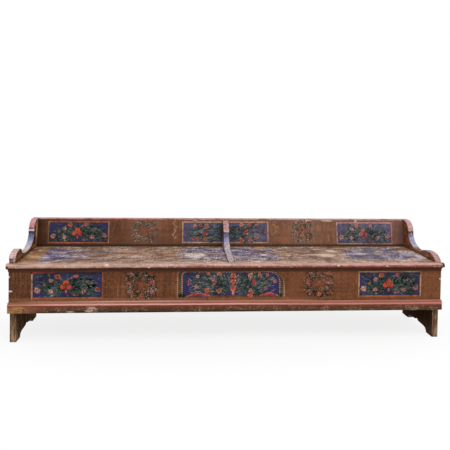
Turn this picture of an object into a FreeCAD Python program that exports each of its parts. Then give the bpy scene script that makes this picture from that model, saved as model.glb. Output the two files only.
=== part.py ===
# Long painted chest bench: scrolled end boards, a middle arm, a raked backrest
# and two lids that swing up on iron pins at the back of the seat.
# Working frame, in millimetres: X along the bench, Y from the face of the front
# board to the rear, Z up from the floor. Finished pieces are moved along Y so
# that the origin lies on the floor under the middle of the whole bench.
import FreeCAD, Part
import math
import os

Vector = FreeCAD.Vector

# Overall sizes
BENCH_LENGTH = 2694.0       # over the outer faces of the end boards
SEAT_HEIGHT = 490.0         # floor to the top of the lids
BACK_RISE = 190.0           # seat to the top of the backrest and of the end boards
SEAT_DEPTH = 510.0          # face of the front board to the backrest, at the seat
BACK_RAKE_DEG = 12.0        # how far the backrest leans back
CHEST_LIFT = 190.0          # floor to the underside of the chest

# Boards
END_THICKNESS = 38.0
PARTITION_THICKNESS = 38.0
FRONT_THICKNESS = 28.0
BACK_THICKNESS = 24.0
BOTTOM_THICKNESS = 20.0
LID_THICKNESS = 26.0
BOTTOM_RISE = 16.0          # underside of the chest to the underside of its floor
BACK_JOINT_DROP = 16.0      # seat down to the joint between chest back and backrest

# Housings and pegs
FLOOR_HOUSING = 10.0        # chest floor let into the boards round it
PARTITION_HOUSING = 8.0     # partition let into the front board
PEG_HALF_WIDTH = 6.0
PEG_SIDES = 8               # whittled, not turned
PEG_GRIP = 45.0             # length of a peg past the board it is driven through
PEG_CLEARANCE = 0.1
FRONT_PEG_DROPS = (78.0, 169.0)     # below the seat
BACK_PEG_DROPS = (90.0, 200.0)      # below the seat, in the chest back
BACKREST_PEG_RISES = (48.0, 140.0)  # above the seat

# Front of an arm: a rounded lobe on the seat, cut lower and longer on the right
LOBE_SETBACK = 8.0          # behind the face of the front board
LEFT_LOBE_BASE = 27.0       # height of its straight front
LEFT_LOBE_HEIGHT = 66.0     # crest above the seat
LEFT_LOBE_CREST = 100.0     # lobe's front to its crest
LEFT_LOBE_LENGTH = 138.0    # lobe's front to the drop behind it
LEFT_LOBE_DROP = 28.0       # crest down to the foot of that drop
RIGHT_LOBE_BASE = 3.0
RIGHT_LOBE_HEIGHT = 47.0
RIGHT_LOBE_CREST = 112.0
RIGHT_LOBE_LENGTH = 196.0
RIGHT_LOBE_DROP = 14.0

# Sweep and shoulder of the arm
VALLEY_DEPTH = 270.0        # face of the front board to the lowest point
VALLEY_HEIGHT = 18.0        # above the seat
WAIST_INSET = 73.0          # upright part of the arm in front of the backrest's foot
WAIST_HEIGHT = 112.0        # above the seat
SHOULDER_RUN = 93.0         # waist to the level top

# Middle arm: the same sweep, running out on the seat with no lobe
MIDDLE_ARM_RISE = 178.0
MIDDLE_TAIL_DEPTH = 230.0   # face of the front board to the end of the sweep
MIDDLE_TAIL_HEIGHT = 12.0
MIDDLE_TIP_DEPTH = 50.0
MIDDLE_TIP_HEIGHT = 5.0
MIDDLE_SHOULDER_RUN = 84.0
SEAT_FLUSH = 1.0            # top of the partition below the lids in front of its arm

# Shaped cut-out between the feet of an end board
FRONT_FOOT = 84.0
ARCH_WIDTH = 298.0
ARCH_SHELF_HEIGHT = 30.0
ARCH_SHELF_RUN = 46.0
ARCH_POINT_HEIGHT = 54.0
ARCH_POINT_RUN = 32.0
ARCH_SHELF_SLOPE = 3.0      # shelf rises this much towards the point
ARCH_POINT_LEVEL = 0.45     # shares that set the curve up to the point
ARCH_POINT_STEEP = 0.25

# Lids
LID_SIDE_GAP = 3.0          # between a lid and the arm beside it
LID_REAR_GAP = 2.5          # between the rounded rear edge and the backrest
LID_FRONT_PLANK = 301.0     # width of the front plank
NOSE_BACK = 4.0             # back of the nosing behind the face of the front board
NOSE_OVERHANG = 28.0        # front of the nosing before that face
NOSE_TOP_ROUND = 14.0
NOSE_BOTTOM_ROUND = 7.0
NOSE_HORN = 10.0            # nosing past the outer face of the end board
NOSE_JOINT = 2.0            # between the two nosings
BATTENS_PER_LID = 3
BATTEN_WIDTH = 60.0
BATTEN_HEIGHT = 24.0
BATTEN_TONGUE = 8.0         # dovetailed part let into the lid
BATTEN_FLARE = 3.0          # dovetail's spread on each side
BATTEN_FRONT_GAP = 12.0     # batten behind the front board
BATTEN_REAR_GAP = 40.0      # batten in front of the pivot
BATTEN_END_INSET = 170.0    # lid's end to the middle of the outer batten

# Pivot pins
PIN_RADIUS = 7.0
PIN_GRIP = 55.0             # length in the lid
PIN_FIXED_CLEARANCE = 0.05
PIN_RUNNING_CLEARANCE = 0.1
PIN_END_ROOM = 2.0          # bore past the end of the pin
PIN_HEAD_RADIUS = 12.0
PIN_HEAD_HEIGHT = 4.0

# Cornice under the nosing
CORNICE_HEIGHT = 27.0
CORNICE_DEPTH = 21.0
CORNICE_FILLET = 5.0
CORNICE_STEP = 3.0
CORNICE_FOOT = 5.0          # depth of the lower fillet
CORNICE_RETURN = 10.0       # past the left end board, where the moulding returns

# Plinth along the foot of the front board
PLINTH_HEIGHT = 62.0
PLINTH_DEPTH = 15.0
PLINTH_OVERHANG = 4.0       # past the end boards
PLINTH_LEDGE = 9.0          # depth of the top fillet
PLINTH_LEDGE_HEIGHT = 9.5
PLINTH_BEAD = 11.0          # height of the round bead
PLINTH_BEAD_BULGE = 5.5
PLINTH_QUIRK = 2.5          # groove under the bead, height and depth

# Nails
NAIL_HALF_WIDTH = 2.0
NAIL_SIDES = 4
NOSE_NAIL_GRIP = 30.0       # length in the lid
PLINTH_NAIL_GRIP = 12.0     # length in the front board
NAIL_HEAD_HALF_WIDTH = 4.5
NAIL_HEAD_TIP = 1.5         # half width of the flat on top of the head
NAIL_HEAD_HEIGHT = 2.0
NAIL_CLEARANCE = 0.1
NOSE_NAILS = 5
PLINTH_NAILS = 7
NAIL_END_INSET = 90.0       # end of the strip to its first nail

KAPPA = 0.5523              # handle length of a curve close to a quarter ellipse

# Places worked out from the sizes
half_length = BENCH_LENGTH / 2
inner_x = half_length - END_THICKNESS
partition_x = PARTITION_THICKNESS / 2
lid_bottom = SEAT_HEIGHT - LID_THICKNESS
back_top = SEAT_HEIGHT + BACK_RISE
back_joint = SEAT_HEIGHT - BACK_JOINT_DROP
floor_bottom = CHEST_LIFT + BOTTOM_RISE
floor_top = floor_bottom + BOTTOM_THICKNESS
rake = math.radians(BACK_RAKE_DEG)
back_slice = BACK_THICKNESS / math.cos(rake)    # level thickness of the raked board


def backrest_y(z):
    """Depth of the backrest's front face at height z."""
    return SEAT_DEPTH + (z - SEAT_HEIGHT) * math.tan(rake)


chest_back_y = backrest_y(back_joint)
pivot_z = SEAT_HEIGHT - LID_THICKNESS / 2
pivot_y = backrest_y(pivot_z) - (LID_THICKNESS / 2 + LID_REAR_GAP) / math.cos(rake)
middle_y = (backrest_y(back_top) + back_slice - NOSE_OVERHANG) / 2


class Outline:
    """A closed outline drawn edge by edge, and pushed out into a solid."""

    def __init__(self, depth, height, plane="YZ"):
        self.plane = plane
        self.first = (depth, height)
        self.last = (depth, height)
        self.edges = []

    def place(self, point):
        if self.plane == "YZ":
            return Vector(0, point[0], point[1])
        return Vector(point[0], 0, point[1])

    def line(self, depth, height):
        start, end = self.place(self.last), self.place((depth, height))
        self.edges.append(Part.LineSegment(start, end).toShape())
        self.last = (depth, height)
        return self

    def bezier(self, *points):
        curve = Part.BezierCurve()
        curve.setPoles([self.place(p) for p in (self.last,) + points])
        self.edges.append(curve.toShape())
        self.last = points[-1]
        return self

    def quarter(self, depth, height, upright_first):
        """A quarter ellipse to the given point, upright at one end and level at the other."""
        d, h = self.last
        if upright_first:
            handles = ((d, h + KAPPA * (height - h)), (depth - KAPPA * (depth - d), height))
        else:
            handles = ((d + KAPPA * (depth - d), h), (depth, height - KAPPA * (height - h)))
        return self.bezier(*handles, (depth, height))

    def solid(self, start, end):
        """Closes the outline and pushes it out between two places on the third axis."""
        if self.last != self.first:
            self.line(*self.first)
        face = Part.Face(Part.Wire(self.edges))
        push = Vector(1, 0, 0) if self.plane == "YZ" else Vector(0, 1, 0)
        face.translate(push * start)
        return face.extrude(push * (end - start))


def block(x0, x1, y0, y1, z0, z1):
    low, high = min(x0, x1), max(x0, x1)
    return Part.makeBox(high - low, y1 - y0, z1 - z0, Vector(low, y0, z0))


def spaced(first, last, count):
    """Evenly spaced places from first to last."""
    if count == 1:
        return [(first + last) / 2]
    return [first + (last - first) * i / (count - 1) for i in range(count)]


def rod(radius, start, direction, length):
    return Part.makeCylinder(radius, length, start, direction)


def ring(half_width, middle, direction, sides):
    """A closed wire of flats about a direction square to X, half_width from its middle."""
    across = Vector(1, 0, 0)
    upward = direction.cross(across)
    reach = half_width / math.cos(math.pi / sides)
    corners = []
    for i in range(sides + 1):
        angle = 2 * math.pi * (i + 0.5) / sides
        corners.append(middle + across * (reach * math.cos(angle)) + upward * (reach * math.sin(angle)))
    return Part.makePolygon(corners)


def stake(half_width, start, direction, length, sides):
    """A straight hewn bar with flat sides."""
    return Part.Face(ring(half_width, start, direction, sides)).extrude(direction * length)


# Pegs and their holes

INTO_BENCH = Vector(0, 1, 0)
OUT_OF_RAKE = Vector(0, -math.cos(rake), math.sin(rake))
end_middles = (-half_length + END_THICKNESS / 2, half_length - END_THICKNESS / 2)


def front_pegs(half_width, xs):
    """Pegs through the front board at the given places along the bench."""
    length = FRONT_THICKNESS + PEG_GRIP
    spots = [Vector(x, 0, SEAT_HEIGHT - drop) for x in xs for drop in FRONT_PEG_DROPS]
    return [stake(half_width, spot, INTO_BENCH, length, PEG_SIDES) for spot in spots]


def rear_pegs(half_width, xs):
    """Pegs through the chest back and, square to its rake, through the backrest."""
    length = BACK_THICKNESS + PEG_GRIP
    pegs = []
    for x in xs:
        for drop in BACK_PEG_DROPS:
            spot = Vector(x, chest_back_y + BACK_THICKNESS, SEAT_HEIGHT - drop)
            pegs.append(stake(half_width, spot, INTO_BENCH * -1, length, PEG_SIDES))
        for rise in BACKREST_PEG_RISES:
            z = SEAT_HEIGHT + rise
            spot = Vector(x, backrest_y(z), z) - OUT_OF_RAKE * BACK_THICKNESS
            pegs.append(stake(half_width, spot, OUT_OF_RAKE, length, PEG_SIDES))
    return pegs


def bored(shape, pegs):
    for peg in pegs:
        shape = shape.cut(peg)
    return shape


peg_hole = PEG_HALF_WIDTH + PEG_CLEARANCE
all_peg_places = (end_middles[0], 0.0, end_middles[1])
front_peg_holes = front_pegs(peg_hole, all_peg_places)
rear_peg_holes = rear_pegs(peg_hole, all_peg_places)


# Boards of the chest

def floor_space(x_reach):
    """The room that the chest floor takes, out to x_reach on each side."""
    return block(
        -x_reach, x_reach,
        FRONT_THICKNESS - FLOOR_HOUSING, chest_back_y + FLOOR_HOUSING,
        floor_bottom, floor_top,
    )


def foot_arch(outline):
    """The cut-out between the feet: two shelves that rise to a point."""
    start = FRONT_THICKNESS + FRONT_FOOT
    end = start + ARCH_WIDTH
    middle = (start + end) / 2
    shelf_end = ARCH_SHELF_HEIGHT + ARCH_SHELF_SLOPE
    lift = ARCH_POINT_HEIGHT - shelf_end
    level = ARCH_POINT_RUN * ARCH_POINT_LEVEL
    steep = ARCH_POINT_RUN * ARCH_POINT_STEEP
    below = ARCH_POINT_HEIGHT - lift * ARCH_POINT_LEVEL
    outline.line(start, 0)
    outline.quarter(start + ARCH_SHELF_RUN, ARCH_SHELF_HEIGHT, upright_first=True)
    outline.line(middle - ARCH_POINT_RUN, shelf_end)
    outline.bezier((middle - level, shelf_end), (middle - steep, below), (middle, ARCH_POINT_HEIGHT))
    outline.bezier((middle + steep, below), (middle + level, shelf_end), (middle + ARCH_POINT_RUN, shelf_end))
    outline.line(end - ARCH_SHELF_RUN, ARCH_SHELF_HEIGHT)
    outline.quarter(end, 0, upright_first=False)


def arm_scroll(outline, base, height, crest, length, drop):
    """Top of an end board from the level shoulder forward to the seat, with its lobe."""
    waist = SEAT_DEPTH - WAIST_INSET
    lobe_back = LOBE_SETBACK + length
    drop_foot = SEAT_HEIGHT + height - drop
    valley = SEAT_HEIGHT + VALLEY_HEIGHT
    outline.line(waist + SHOULDER_RUN, back_top)
    outline.quarter(waist, SEAT_HEIGHT + WAIST_HEIGHT, upright_first=False)
    outline.quarter(VALLEY_DEPTH, valley, upright_first=True)
    third = (VALLEY_DEPTH - lobe_back) / 3
    outline.bezier(
        (VALLEY_DEPTH - third, valley),
        (lobe_back + third, valley),
        (lobe_back, drop_foot),
    )
    outline.quarter(LOBE_SETBACK + crest, SEAT_HEIGHT + height, upright_first=True)
    outline.quarter(LOBE_SETBACK, SEAT_HEIGHT + base, upright_first=False)


def end_board(side):
    outline = Outline(FRONT_THICKNESS, 0)
    foot_arch(outline)
    outline.line(chest_back_y, 0)
    outline.line(chest_back_y, back_joint)
    outline.line(backrest_y(back_top), back_top)
    if side < 0:
        lobe = (LEFT_LOBE_BASE, LEFT_LOBE_HEIGHT, LEFT_LOBE_CREST, LEFT_LOBE_LENGTH, LEFT_LOBE_DROP)
    else:
        lobe = (RIGHT_LOBE_BASE, RIGHT_LOBE_HEIGHT, RIGHT_LOBE_CREST, RIGHT_LOBE_LENGTH, RIGHT_LOBE_DROP)
    arm_scroll(outline, *lobe)
    outline.line(LOBE_SETBACK, lid_bottom)
    outline.line(FRONT_THICKNESS, lid_bottom)
    start, end = sorted((side * half_length, side * inner_x))
    board = outline.solid(start, end)
    board = board.cut(floor_space(inner_x + FLOOR_HOUSING))
    board = bored(board, front_peg_holes + rear_peg_holes)
    return board.cut(pivot_bore(side * half_length, -side, END_THICKNESS, PIN_FIXED_CLEARANCE))


def front_board():
    board = block(-half_length, half_length, 0, FRONT_THICKNESS, CHEST_LIFT, lid_bottom)
    board = board.cut(floor_space(inner_x + FLOOR_HOUSING))
    housing = block(
        -partition_x, partition_x,
        FRONT_THICKNESS - PARTITION_HOUSING, FRONT_THICKNESS,
        floor_top, lid_bottom,
    )
    board = board.cut(housing)
    return bored(board, front_peg_holes + plinth_nail_holes())


def chest_back():
    rear = chest_back_y + BACK_THICKNESS
    board = block(-half_length, half_length, chest_back_y, rear, CHEST_LIFT, back_joint)
    board = board.cut(floor_space(inner_x + FLOOR_HOUSING))
    return bored(board, rear_peg_holes)


def backrest():
    outline = Outline(chest_back_y, back_joint)
    outline.line(chest_back_y + back_slice, back_joint)
    outline.line(backrest_y(back_top) + back_slice, back_top)
    outline.line(backrest_y(back_top), back_top)
    return bored(outline.solid(-half_length, half_length), rear_peg_holes)


def floor_plank(rear):
    """One of the two long planks of the chest floor."""
    low, high = FRONT_THICKNESS - FLOOR_HOUSING, chest_back_y + FLOOR_HOUSING
    split = (low + high) / 2
    reach = inner_x + FLOOR_HOUSING
    y0, y1 = (split, high) if rear else (low, split)
    return block(-reach, reach, y0, y1, floor_bottom, floor_top)


def partition():
    """Board between the two compartments; its upper part is the middle arm."""
    top = SEAT_HEIGHT + MIDDLE_ARM_RISE
    waist = SEAT_DEPTH - WAIST_INSET
    front = FRONT_THICKNESS - PARTITION_HOUSING
    outline = Outline(front, floor_top)
    outline.line(chest_back_y, floor_top)
    outline.line(chest_back_y, back_joint)
    outline.line(backrest_y(top), top)
    outline.line(waist + MIDDLE_SHOULDER_RUN, top)
    outline.quarter(waist, SEAT_HEIGHT + WAIST_HEIGHT, upright_first=False)
    outline.quarter(MIDDLE_TAIL_DEPTH, SEAT_HEIGHT + MIDDLE_TAIL_HEIGHT, upright_first=True)
    outline.line(MIDDLE_TIP_DEPTH, SEAT_HEIGHT + MIDDLE_TIP_HEIGHT)
    outline.line(MIDDLE_TIP_DEPTH, SEAT_HEIGHT - SEAT_FLUSH)
    outline.line(LOBE_SETBACK, SEAT_HEIGHT - SEAT_FLUSH)
    outline.line(LOBE_SETBACK, lid_bottom)
    outline.line(front, lid_bottom)
    board = outline.solid(-partition_x, partition_x)
    board = bored(board, front_peg_holes + rear_peg_holes)
    return board.cut(pivot_bore(-partition_x, 1, PARTITION_THICKNESS, PIN_FIXED_CLEARANCE))


# Pivot pins

def pivot_bore(x, direction, length, clearance):
    """A bore on the lids' axis from x, along +X or -X."""
    start = Vector(x, pivot_y, pivot_z)
    return rod(PIN_RADIUS + clearance, start, Vector(direction, 0, 0), length)


def end_pin(side):
    """Pin driven through an end board into the lid, with a round head outside."""
    reach = END_THICKNESS + LID_SIDE_GAP + PIN_GRIP
    inward = Vector(-side, 0, 0)
    start = Vector(side * half_length, pivot_y, pivot_z)
    shank = rod(PIN_RADIUS, start, inward, reach)
    head = Part.makeCone(PIN_HEAD_RADIUS, PIN_RADIUS, PIN_HEAD_HEIGHT, start, inward * -1)
    return shank.fuse(head).removeSplitter()


def middle_pin():
    reach = partition_x + LID_SIDE_GAP + PIN_GRIP
    return rod(PIN_RADIUS, Vector(-reach, pivot_y, pivot_z), Vector(1, 0, 0), 2 * reach)


# Lids

lid_inner_x = partition_x + LID_SIDE_GAP
lid_outer_x = inner_x - LID_SIDE_GAP
plank_split_y = NOSE_BACK + LID_FRONT_PLANK
batten_front_y = FRONT_THICKNESS + BATTEN_FRONT_GAP


def lid_span(side):
    return sorted((side * lid_inner_x, side * lid_outer_x))


def nose_span(side):
    return sorted((side * NOSE_JOINT / 2, side * (half_length + NOSE_HORN)))


def batten_places(side):
    inset = BATTEN_END_INSET
    return spaced(side * (lid_inner_x + inset), side * (lid_outer_x - inset), BATTENS_PER_LID)


def batten_tongue(x, rear_y):
    """The dovetailed part of a batten, which also cuts its groove."""
    half = BATTEN_WIDTH / 2
    root = half - BATTEN_FLARE
    outline = Outline(x - root, lid_bottom, plane="XZ")
    outline.line(x + root, lid_bottom)
    outline.line(x + half, lid_bottom + BATTEN_TONGUE)
    outline.line(x - half, lid_bottom + BATTEN_TONGUE)
    return outline.solid(batten_front_y, rear_y)


def batten(x):
    rear_y = pivot_y - BATTEN_REAR_GAP
    root = BATTEN_WIDTH / 2 - BATTEN_FLARE
    drop = BATTEN_HEIGHT - BATTEN_TONGUE
    rail = block(x - root, x + root, batten_front_y, rear_y, lid_bottom - drop, lid_bottom)
    return rail.fuse(batten_tongue(x, rear_y)).removeSplitter()


def grooved(plank, side):
    """Cuts the battens' dovetail grooves, which run out at the rear edge."""
    for x in batten_places(side):
        plank = plank.cut(batten_tongue(x, pivot_y + LID_THICKNESS))
    return plank


def lid_front_plank(side):
    x0, x1 = lid_span(side)
    plank = grooved(block(x0, x1, NOSE_BACK, plank_split_y, lid_bottom, SEAT_HEIGHT), side)
    return bored(plank, nose_nail_holes(side))


def lid_rear_plank(side):
    """Rear plank, rounded about the pivot so that it turns clear of the backrest."""
    x0, x1 = lid_span(side)
    plank = block(x0, x1, plank_split_y, pivot_y, lid_bottom, SEAT_HEIGHT)
    edge = rod(LID_THICKNESS / 2, Vector(x0, pivot_y, pivot_z), Vector(1, 0, 0), x1 - x0)
    plank = grooved(plank.fuse(edge).removeSplitter(), side)
    depth = PIN_GRIP + PIN_END_ROOM
    plank = plank.cut(pivot_bore(x0, 1, depth, PIN_RUNNING_CLEARANCE))
    return plank.cut(pivot_bore(x1, -1, depth, PIN_RUNNING_CLEARANCE))


def lid_nosing(side):
    outline = Outline(NOSE_BACK, lid_bottom)
    outline.line(NOSE_BOTTOM_ROUND - NOSE_OVERHANG, lid_bottom)
    outline.quarter(-NOSE_OVERHANG, lid_bottom + NOSE_BOTTOM_ROUND, upright_first=False)
    outline.line(-NOSE_OVERHANG, SEAT_HEIGHT - NOSE_TOP_ROUND)
    outline.quarter(NOSE_TOP_ROUND - NOSE_OVERHANG, SEAT_HEIGHT, upright_first=True)
    outline.line(NOSE_BACK, SEAT_HEIGHT)
    nosing = outline.solid(*nose_span(side))
    return bored(nosing, nose_nail_holes(side))


# Mouldings on the front

def cornice():
    """Cove under the nosing. It returns round the left end and is cut off square at the right."""
    top, foot = lid_bottom, lid_bottom - CORNICE_HEIGHT

    def profile(outline, base, share):
        def out(depth):
            return base - share * depth

        outline.line(out(CORNICE_DEPTH), top)
        outline.line(out(CORNICE_DEPTH), top - CORNICE_FILLET)
        outline.line(out(CORNICE_DEPTH - CORNICE_STEP), top - CORNICE_FILLET)
        outline.quarter(out(CORNICE_FOOT), foot + CORNICE_FILLET, upright_first=False)
        outline.line(out(CORNICE_FOOT), foot)

    along = Outline(0, top)
    profile(along, 0, 1.0)
    along.line(0, foot)
    strip = along.solid(-half_length - CORNICE_RETURN, half_length)
    end = Outline(half_length, top, plane="XZ")
    profile(end, -half_length, CORNICE_RETURN / CORNICE_DEPTH)
    end.line(half_length, foot)
    return strip.common(end.solid(-CORNICE_DEPTH, 0))


def plinth():
    """Plinth rail with a ledge and a round bead along its top."""
    top = CHEST_LIFT + PLINTH_HEIGHT
    bead_top = top - PLINTH_LEDGE_HEIGHT
    bead_foot = bead_top - PLINTH_BEAD
    bead_back = PLINTH_QUIRK - PLINTH_DEPTH
    outline = Outline(0, CHEST_LIFT)
    outline.line(-PLINTH_DEPTH, CHEST_LIFT)
    outline.line(-PLINTH_DEPTH, bead_foot - PLINTH_QUIRK)
    outline.line(bead_back, bead_foot - PLINTH_QUIRK)
    outline.line(bead_back, bead_foot)
    outline.quarter(bead_back - PLINTH_BEAD_BULGE, bead_foot + PLINTH_BEAD / 2, upright_first=False)
    outline.quarter(bead_back, bead_top, upright_first=True)
    outline.line(-PLINTH_LEDGE, bead_top)
    outline.line(-PLINTH_LEDGE, top)
    outline.line(0, top)
    reach = half_length + PLINTH_OVERHANG
    return bored(outline.solid(-reach, reach), plinth_nail_holes())


# Nails

nose_nail_length = NOSE_OVERHANG + NOSE_BACK + NOSE_NAIL_GRIP
plinth_nail_length = PLINTH_DEPTH + PLINTH_NAIL_GRIP


def nail(spot, length):
    """A forged square nail with a low hammered head, driven along +Y from the given place."""
    shank = stake(NAIL_HALF_WIDTH, spot, INTO_BENCH, length, NAIL_SIDES)
    seat = ring(NAIL_HEAD_HALF_WIDTH, spot, INTO_BENCH, NAIL_SIDES)
    tip = ring(NAIL_HEAD_TIP, spot - INTO_BENCH * NAIL_HEAD_HEIGHT, INTO_BENCH, NAIL_SIDES)
    return shank.fuse(Part.makeLoft([seat, tip], True)).removeSplitter()


def nail_holes(spots, length):
    half_width = NAIL_HALF_WIDTH + NAIL_CLEARANCE
    return [stake(half_width, spot, INTO_BENCH, length, NAIL_SIDES) for spot in spots]


def nose_nail_spots(side):
    x0, x1 = lid_span(side)
    z = (lid_bottom + NOSE_BOTTOM_ROUND + SEAT_HEIGHT - NOSE_TOP_ROUND) / 2
    places = spaced(x0 + NAIL_END_INSET, x1 - NAIL_END_INSET, NOSE_NAILS)
    return [Vector(x, -NOSE_OVERHANG, z) for x in places]


def nose_nail_holes(side):
    return nail_holes(nose_nail_spots(side), nose_nail_length)


def plinth_nail_spots():
    flat_top = CHEST_LIFT + PLINTH_HEIGHT - PLINTH_LEDGE_HEIGHT - PLINTH_BEAD - PLINTH_QUIRK
    z = (CHEST_LIFT + flat_top) / 2
    reach = half_length - NAIL_END_INSET
    return [Vector(x, -PLINTH_DEPTH, z) for x in spaced(-reach, reach, PLINTH_NAILS)]


def plinth_nail_holes():
    return nail_holes(plinth_nail_spots(), plinth_nail_length)


# Export

def export(name, shape):
    """Writes one piece, or a group of like pieces, about the bench's own origin."""
    shape = shape.copy()
    shape.translate(Vector(0, -middle_y, 0))
    shape.exportStep(os.path.join("parts", name + ".step"))


def main():
    os.makedirs("parts", exist_ok=True)
    export("front_board", front_board())
    export("chest_back_board", chest_back())
    export("backrest_board", backrest())
    export("floor_plank_front", floor_plank(rear=False))
    export("floor_plank_rear", floor_plank(rear=True))
    export("partition_with_middle_arm", partition())
    export("cornice_moulding", cornice())
    export("plinth_rail", plinth())
    export("front_board_pegs", Part.makeCompound(front_pegs(PEG_HALF_WIDTH, end_middles)))
    export("back_board_pegs", Part.makeCompound(rear_pegs(PEG_HALF_WIDTH, end_middles)))
    partition_pegs = front_pegs(PEG_HALF_WIDTH, [0.0]) + rear_pegs(PEG_HALF_WIDTH, [0.0])
    export("partition_pegs", Part.makeCompound(partition_pegs))
    export("plinth_nails", Part.makeCompound([nail(s, plinth_nail_length) for s in plinth_nail_spots()]))
    export("middle_pivot_pin", middle_pin())
    for side, hand in ((-1, "left"), (1, "right")):
        export(hand + "_end_board", end_board(side))
        export(hand + "_pivot_pin", end_pin(side))
        export(hand + "_lid_front_plank", lid_front_plank(side))
        export(hand + "_lid_rear_plank", lid_rear_plank(side))
        export(hand + "_lid_nosing", lid_nosing(side))
        nails = [nail(s, nose_nail_length) for s in nose_nail_spots(side)]
        export(hand + "_lid_nosing_nails", Part.makeCompound(nails))
        for number, x in enumerate(batten_places(side), start=1):
            export(f"{hand}_lid_batten_{number}", batten(x))


main()
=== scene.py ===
import math
import random

import bmesh
import bpy
from mathutils import Matrix, Vector


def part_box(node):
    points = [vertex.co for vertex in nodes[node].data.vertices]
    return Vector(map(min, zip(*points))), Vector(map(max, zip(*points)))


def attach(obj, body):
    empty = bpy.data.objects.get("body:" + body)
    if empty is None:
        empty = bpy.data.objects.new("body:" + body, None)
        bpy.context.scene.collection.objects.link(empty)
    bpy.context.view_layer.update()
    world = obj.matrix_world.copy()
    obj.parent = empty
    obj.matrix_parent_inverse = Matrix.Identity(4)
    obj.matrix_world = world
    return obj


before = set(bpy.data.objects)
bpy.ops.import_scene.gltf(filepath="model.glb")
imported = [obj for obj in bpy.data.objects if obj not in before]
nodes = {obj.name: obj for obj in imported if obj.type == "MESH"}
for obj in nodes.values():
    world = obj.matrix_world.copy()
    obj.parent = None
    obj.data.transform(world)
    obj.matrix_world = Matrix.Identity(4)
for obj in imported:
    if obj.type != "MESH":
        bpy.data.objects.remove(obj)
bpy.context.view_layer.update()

# The photograph's camera, in metres, radians and pixels of its square frame
IMAGE_SIZE = 450
CAMERA_PLACE = (-0.3228, -3.6901, 1.3005)
CAMERA_YAW = -0.0788
CAMERA_PITCH = 0.0308
CAMERA_ROLL = -0.0164
FOCAL_PIXELS = 556.8
HORIZON_PIXEL = 149.35
SENSOR_MM = 36.0

# Light and floor: name, place, aim, size and power of each lamp, in metres and watts
LAMPS = (
    ("key", (1.5, -2.4, 3.4), (0, 0, 0.4), (3.2, 2.2), 85),
    ("fill", (-2.6, -2.6, 2.4), (-0.2, 0, 0.4), (2.4, 2.0), 28),
)
WORLD_LIGHT = 0.66
FLOOR_GREY = (0.86, 0.86, 0.86, 1)
FLOOR_GLOW = 0.81
FLOOR_HALF = 14.0
FLOOR_DROP = 0.0005
SHADOW_SIZE = (1.9, 0.75)
SHADOW_FADE = (0.5, 1.25)
PURE_WHITE = (1, 1, 1, 1)

# Colours, linear: wood and brown paint
BROWN_DARK = (0.046, 0.016, 0.007, 1)
BROWN = (0.122, 0.039, 0.015, 1)
BROWN_LIGHT = (0.20, 0.070, 0.025, 1)
BROWN_WARM = (0.270, 0.092, 0.033, 1)
BROWN_GLOW = (0.30, 0.115, 0.046, 1)
CORNICE_SHADE = (0.065, 0.026, 0.016, 1)
ORANGE_WOOD = (0.36, 0.19, 0.07, 1)
OCHRE = (0.27, 0.135, 0.055, 1)
GILT = (0.62, 0.42, 0.20, 1)
BARE_WOOD = (0.42, 0.27, 0.17, 1)
BARE_PALE = (0.56, 0.41, 0.31, 1)
OLD_WOOD = (0.175, 0.10, 0.055, 1)
OLD_WOOD_DARK = (0.07, 0.038, 0.02, 1)
# Near black: dirt, and painted shade at the foot of the backrest and under the nosing
SOOT_AND_SHADE = (0.018, 0.009, 0.005, 1)
IRON = (0.035, 0.03, 0.028, 1)
RUST = (0.10, 0.045, 0.025, 1)
# Seat, nosing and plinth
SEAT_DARK = (0.115, 0.062, 0.042, 1)
SEAT_BROWN = (0.21, 0.122, 0.085, 1)
SEAT_PLUM = (0.12, 0.070, 0.072, 1)
SEAT_TAN = (0.35, 0.22, 0.165, 1)
SEAT_PALE = (0.56, 0.40, 0.31, 1)
SEAT_NAVY = (0.030, 0.028, 0.085, 1)
SEAT_BLUE = (0.115, 0.11, 0.205, 1)
SEAT_VIOLET = (0.105, 0.085, 0.215, 1)
SEAT_GREY = (0.20, 0.175, 0.215, 1)
SEAT_LILAC = (0.38, 0.34, 0.42, 1)
SEAT_CHALK = (0.70, 0.62, 0.60, 1)
SPOT_PALE = (0.84, 0.70, 0.64, 1)
SPOT_TAN = (0.76, 0.54, 0.42, 1)
PINK_TAN = (0.50, 0.30, 0.235, 1)
NOSING_PINK = (0.53, 0.32, 0.26, 1)
NOSING_TAN = (0.50, 0.27, 0.205, 1)
NOSING_GOLD = (0.46, 0.26, 0.15, 1)
LEDGE_RED = (0.33, 0.095, 0.073, 1)
LEDGE_TAN = (0.40, 0.19, 0.135, 1)
# Pink of the plinth's bead, brightened into a painted highlight
BEAD_PINK_HIGHLIGHT = (0.72, 0.33, 0.285, 1)
# Arms, ornament and the grounds under it
PINK = (0.56, 0.30, 0.31, 1)
ROSE_PINK = (0.52, 0.20, 0.21, 1)
ARM_ROSE = (0.43, 0.20, 0.20, 1)
DUSTY_PINK = (0.42, 0.235, 0.23, 1)
PALE_PINK = (0.58, 0.40, 0.37, 1)
MADDER = (0.16, 0.032, 0.024, 1)
RUST_LINE = (0.30, 0.085, 0.032, 1)
CREAM = (0.62, 0.51, 0.40, 1)
WHITE = (0.62, 0.56, 0.58, 1)
LAVENDER = (0.34, 0.33, 0.46, 1)
LILAC = (0.30, 0.27, 0.41, 1)
SKY = (0.15, 0.19, 0.33, 1)
TEAL_BLUE = (0.035, 0.06, 0.12, 1)
NAVY = (0.045, 0.05, 0.10, 1)
INK = (0.014, 0.026, 0.045, 1)
SLATE = (0.022, 0.020, 0.044, 1)
GREEN = (0.016, 0.030, 0.018, 1)

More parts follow.
